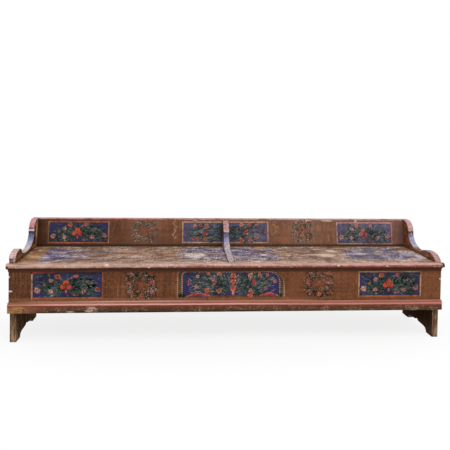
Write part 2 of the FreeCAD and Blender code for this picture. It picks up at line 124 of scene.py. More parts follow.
# Places on the bench, in metres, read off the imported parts
FRONT_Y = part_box("front_board")[0][1]
PLINTH_LOW, PLINTH_TOP = (corner[2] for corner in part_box("plinth_rail"))
CORNICE_LOW, CORNICE_TOP = (corner[2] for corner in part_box("cornice_moulding"))
BACK_TOP_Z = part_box("backrest_board")[1][2]
SEAT_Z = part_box("left_lid_rear_plank")[1][2]
BACK_RAKE = math.radians(12)
BACK_SLOPE = math.tan(BACK_RAKE)

# Grain: scales of streaks that run along one axis, of finer ones against them, and of combed paint
ALONG_X = (0.9, 26.0, 26.0)
ALONG_Y = (26.0, 0.9, 26.0)
ALONG_Z = (26.0, 26.0, 0.9)
FINE_ALONG, FINE_ACROSS = 2.2, 5.0
COMBED = 2.4
# Eased corners in the shading, gloss of old paint, and heights between which the worn feet set in
CORNER_ROUND = 0.003
GLOSS = 0.12
FOOT_TOP = (0.205, 0.165)

# Pale chips: x, height, half length and half height
END_CHIPS = ((-1.346, 0.409, 0.008, 0.006), (-1.338, 0.321, 0.012, 0.005), (1.344, 0.385, 0.008, 0.004))
NOSING_CHIPS = (
    (-0.762, 0.486, 0.010, 0.004), (-0.506, 0.469, 0.006, 0.003), (0.170, 0.474, 0.008, 0.003),
    (0.669, 0.479, 0.007, 0.003), (0.981, 0.475, 0.006, 0.003),
)
CHIP_Z = BACK_TOP_Z - 0.012
TOP_CHIPS = (
    (0.585, CHIP_Z, 0.036, 0.007), (0.738, CHIP_Z, 0.036, 0.004), (0.955, CHIP_Z, 0.008, 0.006),
    (-0.215, CHIP_Z, 0.02, 0.003),
)
# Spots of the plinth: tone and place, as above
PLINTH_SPOTS = (
    (PINK_TAN, (-0.855, 0.213, 0.026, 0.022)), (BARE_PALE, (-0.975, 0.200, 0.02, 0.005)),
    (ORANGE_WOOD, (-1.31, 0.216, 0.065, 0.022)),
)
# Where the plinth's painted bands lie higher: from x, to x and the rise there
PLINTH_LIFTS = ((0.6, 0.0, 0.0058), (-0.1, -0.9, 0.002))
# Worn and stained spots of the seat: x, depth behind the front face, half length, half depth and two tones
WORN_SPOTS = (
    (-0.884, 0.30, 0.13, 0.055, SEAT_PLUM, SEAT_BROWN), (1.09, 0.135, 0.14, 0.028, SEAT_NAVY, SEAT_BLUE),
    (-1.06, 0.415, 0.05, 0.030, BROWN_WARM, ORANGE_WOOD), (-0.65, 0.33, 0.12, 0.030, SEAT_TAN, PINK_TAN),
    (-1.165, 0.16, 0.022, 0.020, SEAT_LILAC, WHITE), (-1.10, 0.29, 0.032, 0.022, SEAT_TAN, SEAT_PALE),
    (1.215, 0.09, 0.050, 0.040, SEAT_TAN, SEAT_LILAC), (0.876, 0.253, 0.09, 0.020, SEAT_LILAC, SEAT_CHALK),
    (0.241, 0.448, 0.045, 0.035, ORANGE_WOOD, GILT), (0.236, 0.225, 0.022, 0.022, SEAT_CHALK, SPOT_PALE),
    (-0.215, 0.212, 0.068, 0.062, CREAM, SPOT_PALE), (0.722, 0.348, 0.036, 0.038, BARE_PALE, SPOT_TAN),
    (0.650, 0.215, 0.064, 0.045, BARE_PALE, SPOT_TAN), (1.290, 0.17, 0.035, 0.060, SEAT_LILAC, SEAT_CHALK),
    (-1.242, 0.175, 0.045, 0.035, ORANGE_WOOD, GILT), (1.240, 0.26, 0.055, 0.080, SEAT_GREY, SEAT_LILAC),
)
# Directions of the seat's scratches in plan; where more or less of its blue is left: from x, to x and change
SCRATCH_TURNS = (0.3, 1.0, -0.8, 1.45)
BLUE_CHANGES = ((-0.7, -0.9, -0.055), (-0.99, -1.06, 0.16), (0.0, 0.06, 0.03), (0.42, 0.5, -0.01))
# Painted bands up the arms: height and colour
LEFT_ARM = (
    (0.500, PINK_TAN), (0.512, WHITE), (0.535, LAVENDER), (0.560, SKY), (0.590, TEAL_BLUE), (0.606, INK),
    (0.611, WHITE), (0.619, WHITE), (0.624, MADDER), (0.642, ROSE_PINK), (0.680, PINK),
)
RIGHT_ARM = (
    (0.500, BROWN), (0.512, BROWN_LIGHT), (0.522, LAVENDER), (0.560, LILAC), (0.590, SEAT_BLUE),
    (0.602, OLD_WOOD_DARK), (0.609, OLD_WOOD_DARK), (0.614, DUSTY_PINK), (0.650, DUSTY_PINK), (0.680, PINK),
)
MIDDLE_ARM = (
    (0.480, PINK_TAN), (0.494, DUSTY_PINK), (0.507, SEAT_LILAC), (0.520, WHITE), (0.535, LILAC),
    (0.585, SEAT_BLUE), (0.600, NAVY), (0.605, WHITE), (0.612, PINK_TAN), (0.630, ARM_ROSE),
    (0.665, DUSTY_PINK),
)


class Shader:
    """A material's node tree, with short calls for the nodes that it is made of."""

    def __init__(self, name):
        self.material = bpy.data.materials.new(name)
        self.material.use_nodes = True
        self.tree = self.material.node_tree
        self.tree.nodes.clear()
        self.surface = self.add("BsdfPrincipled")
        self.output = self.add("OutputMaterial", {"Surface": self.surface.outputs["BSDF"]})
        self.where = self.add("TexCoord").outputs["Object"]
        self.x, self.y, self.z = self.add("SeparateXYZ", {"Vector": self.where}).outputs

    def add(self, kind, inputs=None, **settings):
        node = self.tree.nodes.new("ShaderNode" + kind)
        for key, value in settings.items():
            setattr(node, key, value)
        for key, value in (inputs or {}).items():
            self.feed(node.inputs[key], value)
        return node

    def feed(self, socket, value):
        if isinstance(value, bpy.types.NodeSocket):
            self.tree.links.new(value, socket)
        else:
            socket.default_value = value

    def set(self, **values):
        for key, value in values.items():
            self.feed(self.surface.inputs[key.replace("_", " ")], value)

    def noise(self, scale, detail=4.0, rough=0.6, where=None, twist=0.0):
        return self.add("TexNoise", {
            "Vector": where or self.where, "Scale": scale, "Detail": detail,
            "Roughness": rough, "Distortion": twist,
        }).outputs["Fac"]

    def streaks(self, scale, detail, rough, offset=(0, 0, 0), twist=0.0):
        """Noise with a scale for each axis."""
        place = self.add("Mapping", {"Vector": self.where, "Scale": scale, "Location": offset})
        return self.noise(1.0, detail, rough, place.outputs[0], twist)

    def lines(self, scale, turn, detail, rough):
        """Noise that is stretched along a direction turned in plan."""
        size = tuple(1.0 / v for v in scale)
        inputs = {"Vector": self.where, "Rotation": (0, 0, turn), "Scale": size}
        place = self.add("Mapping", inputs, vector_type="TEXTURE")
        return self.noise(1.0, detail, rough, place.outputs[0])

    def math(self, operation, a, b=0.0):
        return self.add("Math", {0: a, 1: b}, operation=operation).outputs[0]

    def plus(self, a, b):
        return self.math("ADD", a, b)

    def minus(self, a, b):
        return self.math("SUBTRACT", a, b)

    def most(self, a, b):
        return self.math("MAXIMUM", a, b)

    def size(self, a):
        return self.math("ABSOLUTE", a)

    def times(self, product, *factors):
        for factor in factors:
            product = self.math("MULTIPLY", product, factor)
        return product

    def uneven(self, value, noise, swing):
        """A value that a noise of 0 to 1 moves up and down."""
        return self.plus(value, self.times(self.minus(noise, 0.5), swing))

    def rise(self, value, low, high):
        """0 below low, 1 above high, smooth between; low may be the larger one."""
        ends = (low, high, 0.0, 1.0) if low < high else (high, low, 1.0, 0.0)
        inputs = dict(zip(("From Min", "From Max", "To Min", "To Max"), ends), Value=value)
        return self.add("MapRange", inputs, interpolation_type="SMOOTHSTEP").outputs["Result"]

    def between(self, value, low, high, soft):
        """1 from low to high, falling off over soft on each side."""
        up = self.rise(value, low - soft, low + soft)
        return self.times(up, self.rise(value, high + soft, high - soft))

    def ramp(self, factor, *stops):
        node = self.add("ValToRGB", {"Fac": factor})
        elements = node.color_ramp.elements
        while len(elements) < len(stops):
            elements.new(0.5)
        for element, (place, colour) in zip(elements, stops):
            element.position = place
            element.color = colour
        return node.outputs["Color"]

    def bands(self, height, stops):
        """Colours up a height; stops are (height in metres, colour) going up."""
        low, high = stops[0][0], stops[-1][0]
        climb = self.math("DIVIDE", self.minus(height, low), high - low)
        return self.ramp(climb, *[((z - low) / (high - low), colour) for z, colour in stops])

    def mix(self, factor, a, b):
        return self.add("Mix", {0: factor, 6: a, 7: b}, data_type="RGBA").outputs[2]

    def coats(self, colour, *coats):
        """Thin coats one over the other; each is a tone and the factors of its cover."""
        for tone, *cover in coats:
            colour = self.mix(self.times(*cover), colour, tone)
        return colour

    def spots(self, colour, tone, places, noise, ragged, edge, *cover):
        """Ragged spots on a front; places are (x, height, half length, half height)."""
        for x, z, half, rise in places:
            away = self.away((self.x, self.z), (x, z), (half, rise), noise, ragged)
            colour = self.coats(colour, (tone, self.rise(away, *edge), *cover))
        return colour

    def away(self, where, middle, half, noise, ragged):
        """Distance from a spot's middle in half sizes, squared and made uneven by a noise."""
        total = self.times(self.minus(noise, 0.5), ragged)
        for value, centre, size in zip(where, middle, half):
            share = self.math("DIVIDE", self.minus(value, centre), size)
            total = self.plus(total, self.times(share, share))
        return total

    def bump(self, height, strength, distance):
        """Surface relief, over corners that look eased by hand."""
        soft = self.add("Bevel", {"Radius": CORNER_ROUND}, samples=6).outputs["Normal"]
        inputs = {"Height": height, "Strength": strength, "Distance": distance, "Normal": soft}
        self.set(Normal=self.add("Bump", inputs).outputs["Normal"])

    def edges(self, radius):
        """About 1 on corners and 0 on flat ground."""
        rounded = self.add("Bevel", {"Radius": radius}, samples=6).outputs["Normal"]
        flat = self.add("NewGeometry").outputs["True Normal"]
        turn = self.add("VectorMath", {0: rounded, 1: flat}, operation="DOT_PRODUCT")
        return self.rise(turn.outputs["Value"], 0.995, 0.80)

    def rubbed_edges(self):
        return self.times(self.edges(0.006), self.rise(self.noise(24.0, 5.0, 0.7), 0.35, 0.62), 0.75)

    def normal(self, axis):
        """The surface normal's part along an axis, -1 to 1."""
        split = self.add("SeparateXYZ", {"Vector": self.add("NewGeometry").outputs["True Normal"]})
        return split.outputs[axis]

    def finish_wood(self, colour, broad, fine, worn, gloss=GLOSS):
        rough = self.plus(0.55, self.times(worn, 0.25))
        self.set(Base_Color=colour, Roughness=rough, Specular_IOR_Level=gloss)
        self.bump(self.plus(self.times(broad, 0.6), self.minus(fine, worn)), 0.35, 0.0012)
        return self


# Materials of the bench, with places in metres; a coat sets in between two levels and ends with its strength

def row_y(depth):
    """Row y of a depth behind the front board's face, both in metres."""
    return FRONT_Y + depth


def shade(colour, level):
    return tuple(level * c for c in colour[:3]) + (1,)


def grain(s, run):
    """Broad and fine streaks of the wood, each 0 to 1."""
    fine_run = tuple(FINE_ACROSS * r if r > 1 else FINE_ALONG * r for r in run)
    return s.streaks(run, 5.0, 0.62, twist=0.35), s.streaks(fine_run, 3.0, 0.7, twist=0.1)


def bare_wood(s, run, dark=OLD_WOOD):
    broad, fine = grain(s, run)
    colour = s.ramp(broad, (0.30, dark), (0.62, BARE_WOOD))
    return s.coats(colour, (dark, s.rise(fine, 0.62, 0.40))), broad, fine


def brown_paint(s, run, level):
    """Brown grained paint: dark streaks combed over a red-brown ground, with ochre showing through."""
    broad, fine = grain(s, run)
    cloud = s.noise(5.0, 5.0, 0.6)
    comb = s.streaks(tuple(COMBED * r for r in ALONG_Z), 4.0, 0.75, (8, 3, 5))
    speck = s.noise(62.0, 5.0, 0.8)
    dark, mid, light, ochre = (shade(c, level) for c in (BROWN_DARK, BROWN, BROWN_LIGHT, OCHRE))
    return s.coats(
        s.ramp(broad, (0.25, dark), (0.5, mid), (0.76, light)),
        (dark, s.rise(comb, 0.46, 0.60), 0.75),
        (light, s.rise(cloud, 0.50, 0.70), 0.5),
        (ochre, s.rise(comb, 0.48, 0.36), s.rise(cloud, 0.52, 0.34), 0.8),
        (dark, s.rise(speck, 0.52, 0.60), 0.22),
        (ochre, s.rise(speck, 0.46, 0.38), 0.25),
    ), broad, fine


def worn_brown(s, run, wear, level=1.0, dark=OLD_WOOD):
    """Brown paint rubbed through to the wood along the grain, in spots and at the corners."""
    paint, broad, fine = brown_paint(s, run, level)
    wood, _, _ = bare_wood(s, run, dark)
    lines = s.streaks(tuple(COMBED * r for r in run), 4.0, 0.75, (3, 1, 7))
    area = s.rise(s.noise(3.2, 3.0, 0.5), 0.40, 0.68)
    spots = s.rise(s.noise(38.0, 5.0, 0.7), 0.66, 0.74)
    scratches = s.times(s.most(s.rise(lines, 0.66, 0.74), spots), area, wear)
    worn = s.most(scratches, s.rubbed_edges())
    return s.mix(worn, paint, wood), wood, broad, fine, worn


def front_material():
    """Brown grained paint of the front board, with painted light and shade across it and a pale painted
    highlight above the plinth.
    """
    s = Shader("front_paint")
    colour, _, broad, fine, worn = worn_brown(s, ALONG_X, 0.8)
    mottle = s.noise(80.0, 4.0, 0.8)
    ragged = s.noise(60.0, 4.0, 0.7)
    # Painted light: a lighter, warmer ragged band along the foot of the board
    foot = s.times(s.rise(s.z, PLINTH_TOP + 0.030, PLINTH_TOP + 0.018), s.rise(ragged, 0.32, 0.5))
    # Painted highlight: a pale line just above the plinth that stands for the lit top of its ledge
    line = s.rise(s.z, PLINTH_TOP + 0.0068, PLINTH_TOP + 0.0050)
    colour = s.coats(
        colour,
        # Darker toward both ends; painted shade to the left and painted light, warmer and lighter, to the
        # right
        (BROWN_DARK, s.rise(s.size(s.x), 1.20, 1.36), 0.35),
        (BROWN_WARM, s.rise(s.x, 0.1, 1.25), 0.3),
        (BROWN_DARK, s.rise(s.x, -0.2, -1.2), 0.15),
        (BROWN_WARM, s.between(s.x, 0.36, 0.46, 0.05), 0.2),
        (BROWN_WARM, s.between(s.x, -0.76, -0.68, 0.05), 0.12),
        (BROWN_DARK, s.rise(mottle, 0.51, 0.57), 0.32),
        (BROWN_GLOW, s.rise(mottle, 0.47, 0.41), 0.32),
        (BROWN_GLOW, foot, s.rise(s.x, 1.0, 0.0), 0.42),
        (LEDGE_TAN, line, s.between(s.x, -1.25, 0.5, 0.1)),
        (PALE_PINK, line, s.between(s.x, -0.9, -0.3, 0.15), 0.8),
    )
    colour = s.spots(colour, CREAM, END_CHIPS, ragged, 5.0, (1.2, 0.6))
    return s.finish_wood(colour, broad, fine, worn)


def arm_sides(s, sides):
    """Side faces: speckled outside, and mottled above the seat on the inner faces."""
    fleck = s.streaks((8.0, 15.0, 55.0), 6.0, 0.8, (5, 3, 7))
    mottle = s.ramp(fleck, (0.40, SOOT_AND_SHADE), (0.46, sides), (0.51, sides), (0.56, OCHRE), (0.61, SEAT_TAN))
    inward = s.rise(s.times(s.normal("X"), s.x), -0.5, -1.0)
    speckled = s.coats(sides, (OCHRE, s.rise(s.noise(60.0, 6.0, 0.75), 0.54, 0.64), 0.4))
    return s.coats(speckled, (mottle, inward, s.rise(s.z, SEAT_Z - 0.08, SEAT_Z)))


def arm_foot(s, broad, side):
    """Dirty, trodden wood of the feet, darker on the side faces."""
    scuff = s.streaks((70.0, 70.0, 14.0), 6.0, 0.75, (1, 6, 2))
    tread = s.times(s.rise(s.uneven(s.z, broad, 0.25), 0.11, 0.0), s.rise(scuff, 0.40, 0.54))
    shaft = s.coats(
        s.ramp(scuff, (0.42, OLD_WOOD_DARK), (0.55, OLD_WOOD), (0.68, BARE_WOOD)),
        (BARE_WOOD, tread, 0.65), (SOOT_AND_SHADE, s.edges(0.004), 0.6),
    )
    inside = s.coats(
        s.ramp(broad, (0.35, SOOT_AND_SHADE), (0.75, OLD_WOOD_DARK)),
        (OLD_WOOD, tread, 0.45), (shaft, s.rise(s.x, 1.0, -1.0), 0.5),
    )
    return s.mix(side, shaft, inside)


def arm_band(s, stops, lobe, lobe_depth, lobe_low, blotch):
    """The painted band up the sweep of an arm, with the front scroll in a colour of its own."""
    front = s.rise(s.y, row_y(lobe_depth + 0.02), row_y(lobe_depth - 0.02))
    scroll = s.mix(s.rise(s.z, SEAT_Z + lobe_low - 0.004, SEAT_Z + lobe_low + 0.004), BROWN, lobe)
    return s.coats(
        s.bands(s.uneven(s.z, s.noise(30.0), 0.012), stops), (scroll, front),
        (BROWN, s.rise(blotch, 0.53, 0.59), 0.6),
        (WHITE, s.rise(blotch, 0.46, 0.40), 0.7),
        (BROWN, s.edges(0.005), 0.7),
    )


def arm_board(name, stops, lobe, lobe_depth, lobe_low, sides):
    """An upright board: brown sides, worn dark feet and a painted band along the arm's edge.

    stops are (height in metres, colour) up the sweep; lobe is the front scroll's colour, from lobe_low above
    the seat; sides is a tone over the brown of the side faces."""
    s = Shader(name)
    colour, _, broad, fine, worn = worn_brown(s, ALONG_Z, 0.7)
    side = s.rise(s.size(s.normal("X")), 0.35, 0.65)
    foot = s.rise(s.z, *FOOT_TOP)
    blotch = s.noise(70.0, 6.0, 0.8)
    corner = s.minus(s.y, s.times(s.minus(s.z, SEAT_Z), BACK_SLOPE))
    gilt = s.times(s.between(corner, row_y(0.462), row_y(0.492), 0.006), s.rise(blotch, 0.62, 0.48))
    tail = s.times(s.rise(s.z, SEAT_Z + 0.055, SEAT_Z + 0.025), s.rise(s.z, SEAT_Z - 0.003, SEAT_Z))
    scuffed = s.ramp(blotch, (0.41, WHITE), (0.48, SEAT_LILAC), (0.53, PINK_TAN), (0.58, SEAT_DARK))
    above_seat = s.rise(s.z, SEAT_Z - 0.002, SEAT_Z + 0.002)
    colour = s.coats(
        colour,
        (arm_sides(s, sides), side, 0.75),
        (arm_foot(s, broad, side), foot),
        (GILT, gilt, s.between(s.z, SEAT_Z + 0.05, SEAT_Z + 0.18, 0.05), s.between(s.x, -1.32, -1.0, 0.005)),
        (arm_band(s, stops, lobe, lobe_depth, lobe_low, blotch), above_seat, s.minus(1.0, side),
         s.rise(s.y, row_y(0.56), row_y(0.55))),
        (scuffed, tail, s.between(s.x, -0.1, 0.1, 0.01), 0.8),
    )
    return s.finish_wood(colour, broad, fine, worn, s.times(s.minus(1.0, foot), GLOSS))


def blue_fields(s, cloud, smear):
    """What is left of the three blue fields of the seat, 0 to 1."""
    ragged = s.uneven(s.size(s.x), cloud, 0.22)
    side = s.uneven(s.size(s.x), cloud, 0.05)
    outer = s.times(s.rise(ragged, 0.775, 0.825), s.rise(side, 1.205, 1.190))
    depth = s.plus(s.y, s.times(s.rise(s.x, -0.95, -1.1), 0.035))
    left = s.plus(s.times(cloud, 0.5), s.times(smear, 0.5))
    for start, end, amount in BLUE_CHANGES:
        left = s.plus(left, s.times(s.rise(s.x, start, end), amount))
    where = s.most(outer, s.rise(ragged, 0.34, 0.29))
    return s.times(where, s.between(depth, row_y(0.08), row_y(0.465), 0.03), s.rise(left, 0.42, 0.54))


def seat_material():
    """Worn seat: tan wood with remains of brown paint and of three blue fields, bare spots and scratches."""
    s = Shader("seat_paint")
    _, fine = grain(s, ALONG_X)
    patch = s.streaks((6.0, 8.0, 8.0), 6.0, 0.7, (2, 5, 1), 1.1)
    streak = s.streaks((10.0, 26.0, 26.0), 8.0, 0.78, (4, 0, 0), 0.4)
    cloud = s.noise(7.0, 6.0, 0.66)
    tone = s.plus(s.times(patch, 0.35), s.times(streak, 0.65))
    blue = s.times(blue_fields(s, cloud, patch), s.rise(streak, 0.60, 0.52))
    blue_tone = s.coats(
        s.ramp(tone, (0.43, SEAT_NAVY), (0.49, SEAT_BLUE), (0.54, SEAT_LILAC), (0.60, SEAT_CHALK)),
        (SEAT_VIOLET, s.rise(s.x, -1.02, -1.12), 0.6), (SEAT_GREY, s.rise(s.x, 0.75, 0.9), 0.4),
    )
    front = s.rise(s.uneven(s.y, tone, 0.25), row_y(0.07), row_y(0.02))
    rubbed = s.plus(0.5, s.times(s.between(s.x, -0.35, 0.45, 0.1), 0.3))
    colour = s.coats(
        s.ramp(tone, (0.42, SEAT_DARK), (0.48, SEAT_BROWN), (0.53, SEAT_TAN), (0.60, SEAT_PALE)),
        (s.ramp(tone, (0.43, BROWN), (0.55, ORANGE_WOOD)),
         s.rise(s.y, row_y(0.08), row_y(0.20)), s.rise(cloud, 0.56, 0.44), 0.6),
        (s.ramp(tone, (0.44, BROWN_LIGHT), (0.54, ORANGE_WOOD)), s.rise(s.x, -1.18, -1.21), 0.8),
        (blue_tone, blue, 0.92),
        (s.ramp(tone, (0.42, SEAT_BROWN), (0.5, PINK_TAN), (0.58, SEAT_PALE)), front, rubbed),
    )
    for x, depth, half, half_depth, dull, pale in WORN_SPOTS:
        away = s.away((s.x, s.y), (x, row_y(depth)), (half, half_depth), streak, 8.0)
        colour = s.coats(colour, (s.mix(fine, dull, pale), s.rise(away, 1.2, 0.8), 0.92))
    for turn in SCRATCH_TURNS:
        lines = s.lines((9.0, 110.0, 110.0), turn, 2.0, 0.6)
        colour = s.coats(
            colour,
            (SEAT_NAVY, s.rise(lines, 0.42, 0.36), blue, 0.55),
            (SEAT_CHALK, s.rise(lines, 0.63, 0.66), s.rise(patch, 0.46, 0.54), 0.9),
        )
    pits = s.streaks((50.0, 24.0, 24.0), 4.0, 0.7, (9, 2, 0))
    flecks = s.streaks((95.0, 30.0, 30.0), 4.0, 0.75, (3, 8, 1))
    colour = s.coats(
        colour,
        (BROWN_WARM, s.between(s.x, -0.72, -0.38, 0.1), 0.16),
        (SEAT_DARK, s.rise(pits, 0.42, 0.36), 0.8),
        (SEAT_DARK, s.rise(flecks, 0.56, 0.64), 0.5),
        (SEAT_CHALK, s.rise(flecks, 0.41, 0.34), 0.5),
        (SEAT_PALE, s.rise(s.y, row_y(0.487), row_y(0.493)), 0.5),
    )
    wood, _, _ = bare_wood(s, ALONG_X)
    colour = s.coats(wood, (colour, s.rise(s.z, SEAT_Z - 0.006, SEAT_Z - 0.003)))
    s.set(Base_Color=colour, Roughness=s.plus(0.62, s.times(cloud, 0.2)), Specular_IOR_Level=GLOSS)
    s.bump(s.plus(s.times(tone, 1.2), s.times(fine, 0.6)), 0.45, 0.0014)
    return s


def nosing_material():
    """Worn pink-tan edge of the seat with dark red left along its lower side, painted shade under that and,
    at the left, a painted highlight on top.
    """
    s = Shader("nosing_paint")
    _, fine = grain(s, ALONG_X)
    chips = s.streaks((12.0, 45.0, 45.0), 7.0, 0.75, twist=0.5)
    cloud = s.noise(4.0, 5.0, 0.65)
    tone = s.plus(s.times(chips, 0.75), s.times(cloud, 0.25))
    lines = s.streaks((2.5, 150.0, 150.0), 3.0, 0.6, (1, 2, 8))
    flecks = s.streaks((70.0, 150.0, 150.0), 4.0, 0.75, (2, 7, 4))
    right = s.rise(s.x, -0.3, 0.3)
    low = s.uneven(s.z, chips, 0.022)
    low = s.plus(low, s.times(s.rise(s.x, -0.4, -1.2), 0.006))
    low = s.minus(low, s.times(s.rise(s.x, -0.7, -0.1), 0.0055))
    low = s.minus(low, s.times(s.rise(s.x, 0.6, 1.1), 0.0025))
    colour = s.coats(
        s.ramp(tone, (0.36, SEAT_BROWN), (0.43, SEAT_TAN), (0.50, NOSING_PINK), (0.62, PALE_PINK)),
        (SEAT_TAN, s.rise(lines, 0.56, 0.44), 0.35),
        (s.ramp(tone, (0.38, SEAT_BROWN), (0.5, NOSING_TAN)), right, 0.7),
        # Painted highlight: pale worn paint along the top at the left, brightened
        (s.ramp(tone, (0.40, SEAT_BROWN), (0.5, NOSING_GOLD), (0.62, CREAM)),
         s.rise(s.z, SEAT_Z - 0.008, SEAT_Z - 0.002), s.rise(s.x, -0.5, -0.9), 0.6),
        # Painted shade: a thin darker line across the front at the left, under the painted highlight
        (SEAT_BROWN, s.between(low, SEAT_Z - 0.0105, SEAT_Z - 0.0075, 0.001), s.rise(s.x, -0.3, -0.5), 0.4),
        (s.mix(right, RUST_LINE, ROSE_PINK),
         s.between(low, SEAT_Z - 0.019, SEAT_Z - 0.012, 0.003), s.rise(cloud, 0.38, 0.55), 0.75),
        # Dark red paint going to painted shade, near black, along the bottom where the cove under the nosing
        # lies in shadow
        (s.mix(s.rise(s.z, SEAT_Z - 0.023, SEAT_Z - 0.019), SOOT_AND_SHADE, MADDER),
         s.rise(low, SEAT_Z - 0.016, SEAT_Z - 0.020), 0.9),
        (SEAT_BROWN, s.rise(flecks, 0.54, 0.62), 0.35),
        (SEAT_CHALK, s.rise(flecks, 0.44, 0.36), 0.45),
    )
    colour = s.spots(colour, SPOT_PALE, NOSING_CHIPS, chips, 6.0, (1.3, 0.6), 0.7)
    colour = s.coats(
        colour,
        (BROWN_DARK, s.rise(s.x, -1.340, -1.346), s.rise(s.z, SEAT_Z - 0.009, SEAT_Z - 0.014)),
        (BROWN_LIGHT, s.rise(s.x, -1.15, -1.28), s.rise(low, SEAT_Z - 0.002, SEAT_Z - 0.006), 0.25),
        (s.mix(fine, SOOT_AND_SHADE, SEAT_DARK), s.rise(s.x, 1.340, 1.346)),
    )
    s.set(Base_Color=colour, Roughness=0.6, Specular_IOR_Level=0.15)
    s.bump(s.plus(fine, chips), 0.4, 0.0012)
    return s


def moulding(name, stops, chip_colour, chip_cover, lifts=()):
    """A long moulding painted in bands: stops are (height in metres, colour) going up."""
    s = Shader(name)
    broad, fine = grain(s, ALONG_X)
    chips = s.streaks((14.0, 55.0, 55.0), 6.0, 0.75, (6, 2, 3))
    height = s.uneven(s.z, chips, 0.006)
    for start, end, lift in lifts:
        height = s.minus(height, s.times(s.rise(s.x, start, end), lift))
    high, top_colour = stops[-1]
    area = s.rise(s.noise(2.3, 3.0, 0.6), 0.42, 0.66)
    worn = s.most(s.times(s.rise(chips, 0.54, 0.64), area, chip_cover), s.times(s.rubbed_edges(), 0.8))
    colour = s.coats(
        s.bands(height, stops),
        (top_colour, s.rise(s.z, high - 0.003, high - 0.001)),
        (BROWN_DARK, s.rise(broad, 0.50, 0.30), 0.6),
        (chip_colour, worn),
    )
    return s, colour, broad, fine, worn, chips


def plinth_material():
    bead = PLINTH_TOP - 0.018
    # The narrow pink band on the bead is pink paint brightened into a painted highlight
    stops = (
        (PLINTH_LOW, SOOT_AND_SHADE), (PLINTH_LOW + 0.006, OLD_WOOD_DARK), (bead - 0.016, BROWN),
        (bead - 0.009, MADDER), (bead - 0.006, LEDGE_RED), (bead - 0.0015, BEAD_PINK_HIGHLIGHT),
        (bead + 0.0015, BEAD_PINK_HIGHLIGHT), (bead + 0.0045, LEDGE_RED), (PLINTH_TOP - 0.004, LEDGE_RED),
        (PLINTH_TOP - 0.002, LEDGE_TAN), (PLINTH_TOP, LEDGE_TAN),
    )
    s, colour, broad, fine, worn, chips = moulding("plinth_paint", stops, BARE_WOOD, 0.4, PLINTH_LIFTS)
    speck = s.plus(s.times(s.noise(110.0, 4.0, 0.75), 0.6), s.times(s.noise(12.0, 4.0, 0.7), 0.4))
    flat = s.rise(s.z, bead - 0.008, bead - 0.012)
    colour = s.coats(
        colour,
        (BARE_WOOD, s.rise(speck, 0.53, 0.60), flat, 0.45),
        (BROWN_DARK, s.rise(speck, 0.49, 0.42), flat, 0.6),
        (BROWN_WARM, s.rise(s.x, -1.05, -1.3), 0.6),
    )
    for tone, place in PLINTH_SPOTS:
        colour = s.spots(colour, tone, [place], chips, 14.0, (1.6, 0.2), 0.8)
    return s.finish_wood(colour, broad, fine, worn)


def cornice_material():
    # Dark brown cove that goes darker up under the nosing: painted shade
    stops = (
        (CORNICE_LOW, BROWN), (CORNICE_LOW + 0.006, CORNICE_SHADE), (CORNICE_TOP - 0.010, CORNICE_SHADE),
        (CORNICE_TOP, BROWN_DARK),
    )
    s, colour, broad, fine, worn, _ = moulding("cornice_paint", stops, BROWN_LIGHT, 0.35)
    return s.finish_wood(colour, broad, fine, worn, 0.03)


def plain_wood(name, run):
    """Unpainted pine, as on the floor planks, the back and the battens."""
    s = Shader(name)
    colour, broad, fine = bare_wood(s, run, OLD_WOOD_DARK)
    dirt = s.rise(s.noise(4.0, 5.0, 0.6), 0.45, 0.75)
    return s.finish_wood(s.coats(colour, (OLD_WOOD_DARK, dirt, 0.5)), broad, fine, dirt)


def backrest_material():
    """Brown paint with a pale red line left along the top edge, painted shade to the left and above the seat
    and painted light to the right; the rear face is bare.
    """
    s = Shader("backrest_paint")
    colour, wood, broad, fine, worn = worn_brown(s, ALONG_X, 0.7, 1.75, OLD_WOOD_DARK)
    right = s.rise(s.x, -1.35, 0.9)
    ragged = s.streaks((9.0, 40.0, 40.0), 5.0, 0.7)
    line = s.rise(s.uneven(s.z, ragged, 0.012), BACK_TOP_Z - 0.009, BACK_TOP_Z - 0.004)
    colour = s.coats(
        colour,
        # Painted shade darkens the left and painted light lifts the right
        (BROWN_DARK, s.minus(1.0, right), 0.65),
        (SEAT_BROWN, right, 0.35),
        (SEAT_TAN, s.between(s.size(s.x), 0.46, 0.68, 0.06), 0.11),
        # Darker at the left end: partly paint, partly painted shade next to the left arm
        (BROWN_DARK, s.rise(s.x, -1.22, -1.29), 0.6),
        (SEAT_PLUM, s.rise(s.x, 1.21, 1.30), 0.6),
        (s.ramp(ragged, (0.35, MADDER), (0.52, PINK), (0.7, PINK_TAN)), line, 0.9),
        # Painted shade: a dark band along the foot of the board above the seat, in the crevice
        (SOOT_AND_SHADE, s.rise(s.z, SEAT_Z + 0.024, SEAT_Z + 0.006), 0.8),
    )
    colour = s.spots(colour, BARE_PALE, TOP_CHIPS, ragged, 8.0, (1.3, 0.5), 0.85)
    return s.finish_wood(s.coats(colour, (wood, s.rise(s.normal("Y"), 0.4, 0.6))), broad, fine, worn)


def iron_material():
    s = Shader("forged_iron")
    rust = s.noise(160.0, 5.0, 0.7)
    colour = s.ramp(rust, (0.35, IRON), (0.65, RUST))
    s.set(Base_Color=colour, Metallic=0.6, Roughness=s.plus(0.5, s.times(rust, 0.3)))
    s.bump(rust, 0.4, 0.0006)
    return s


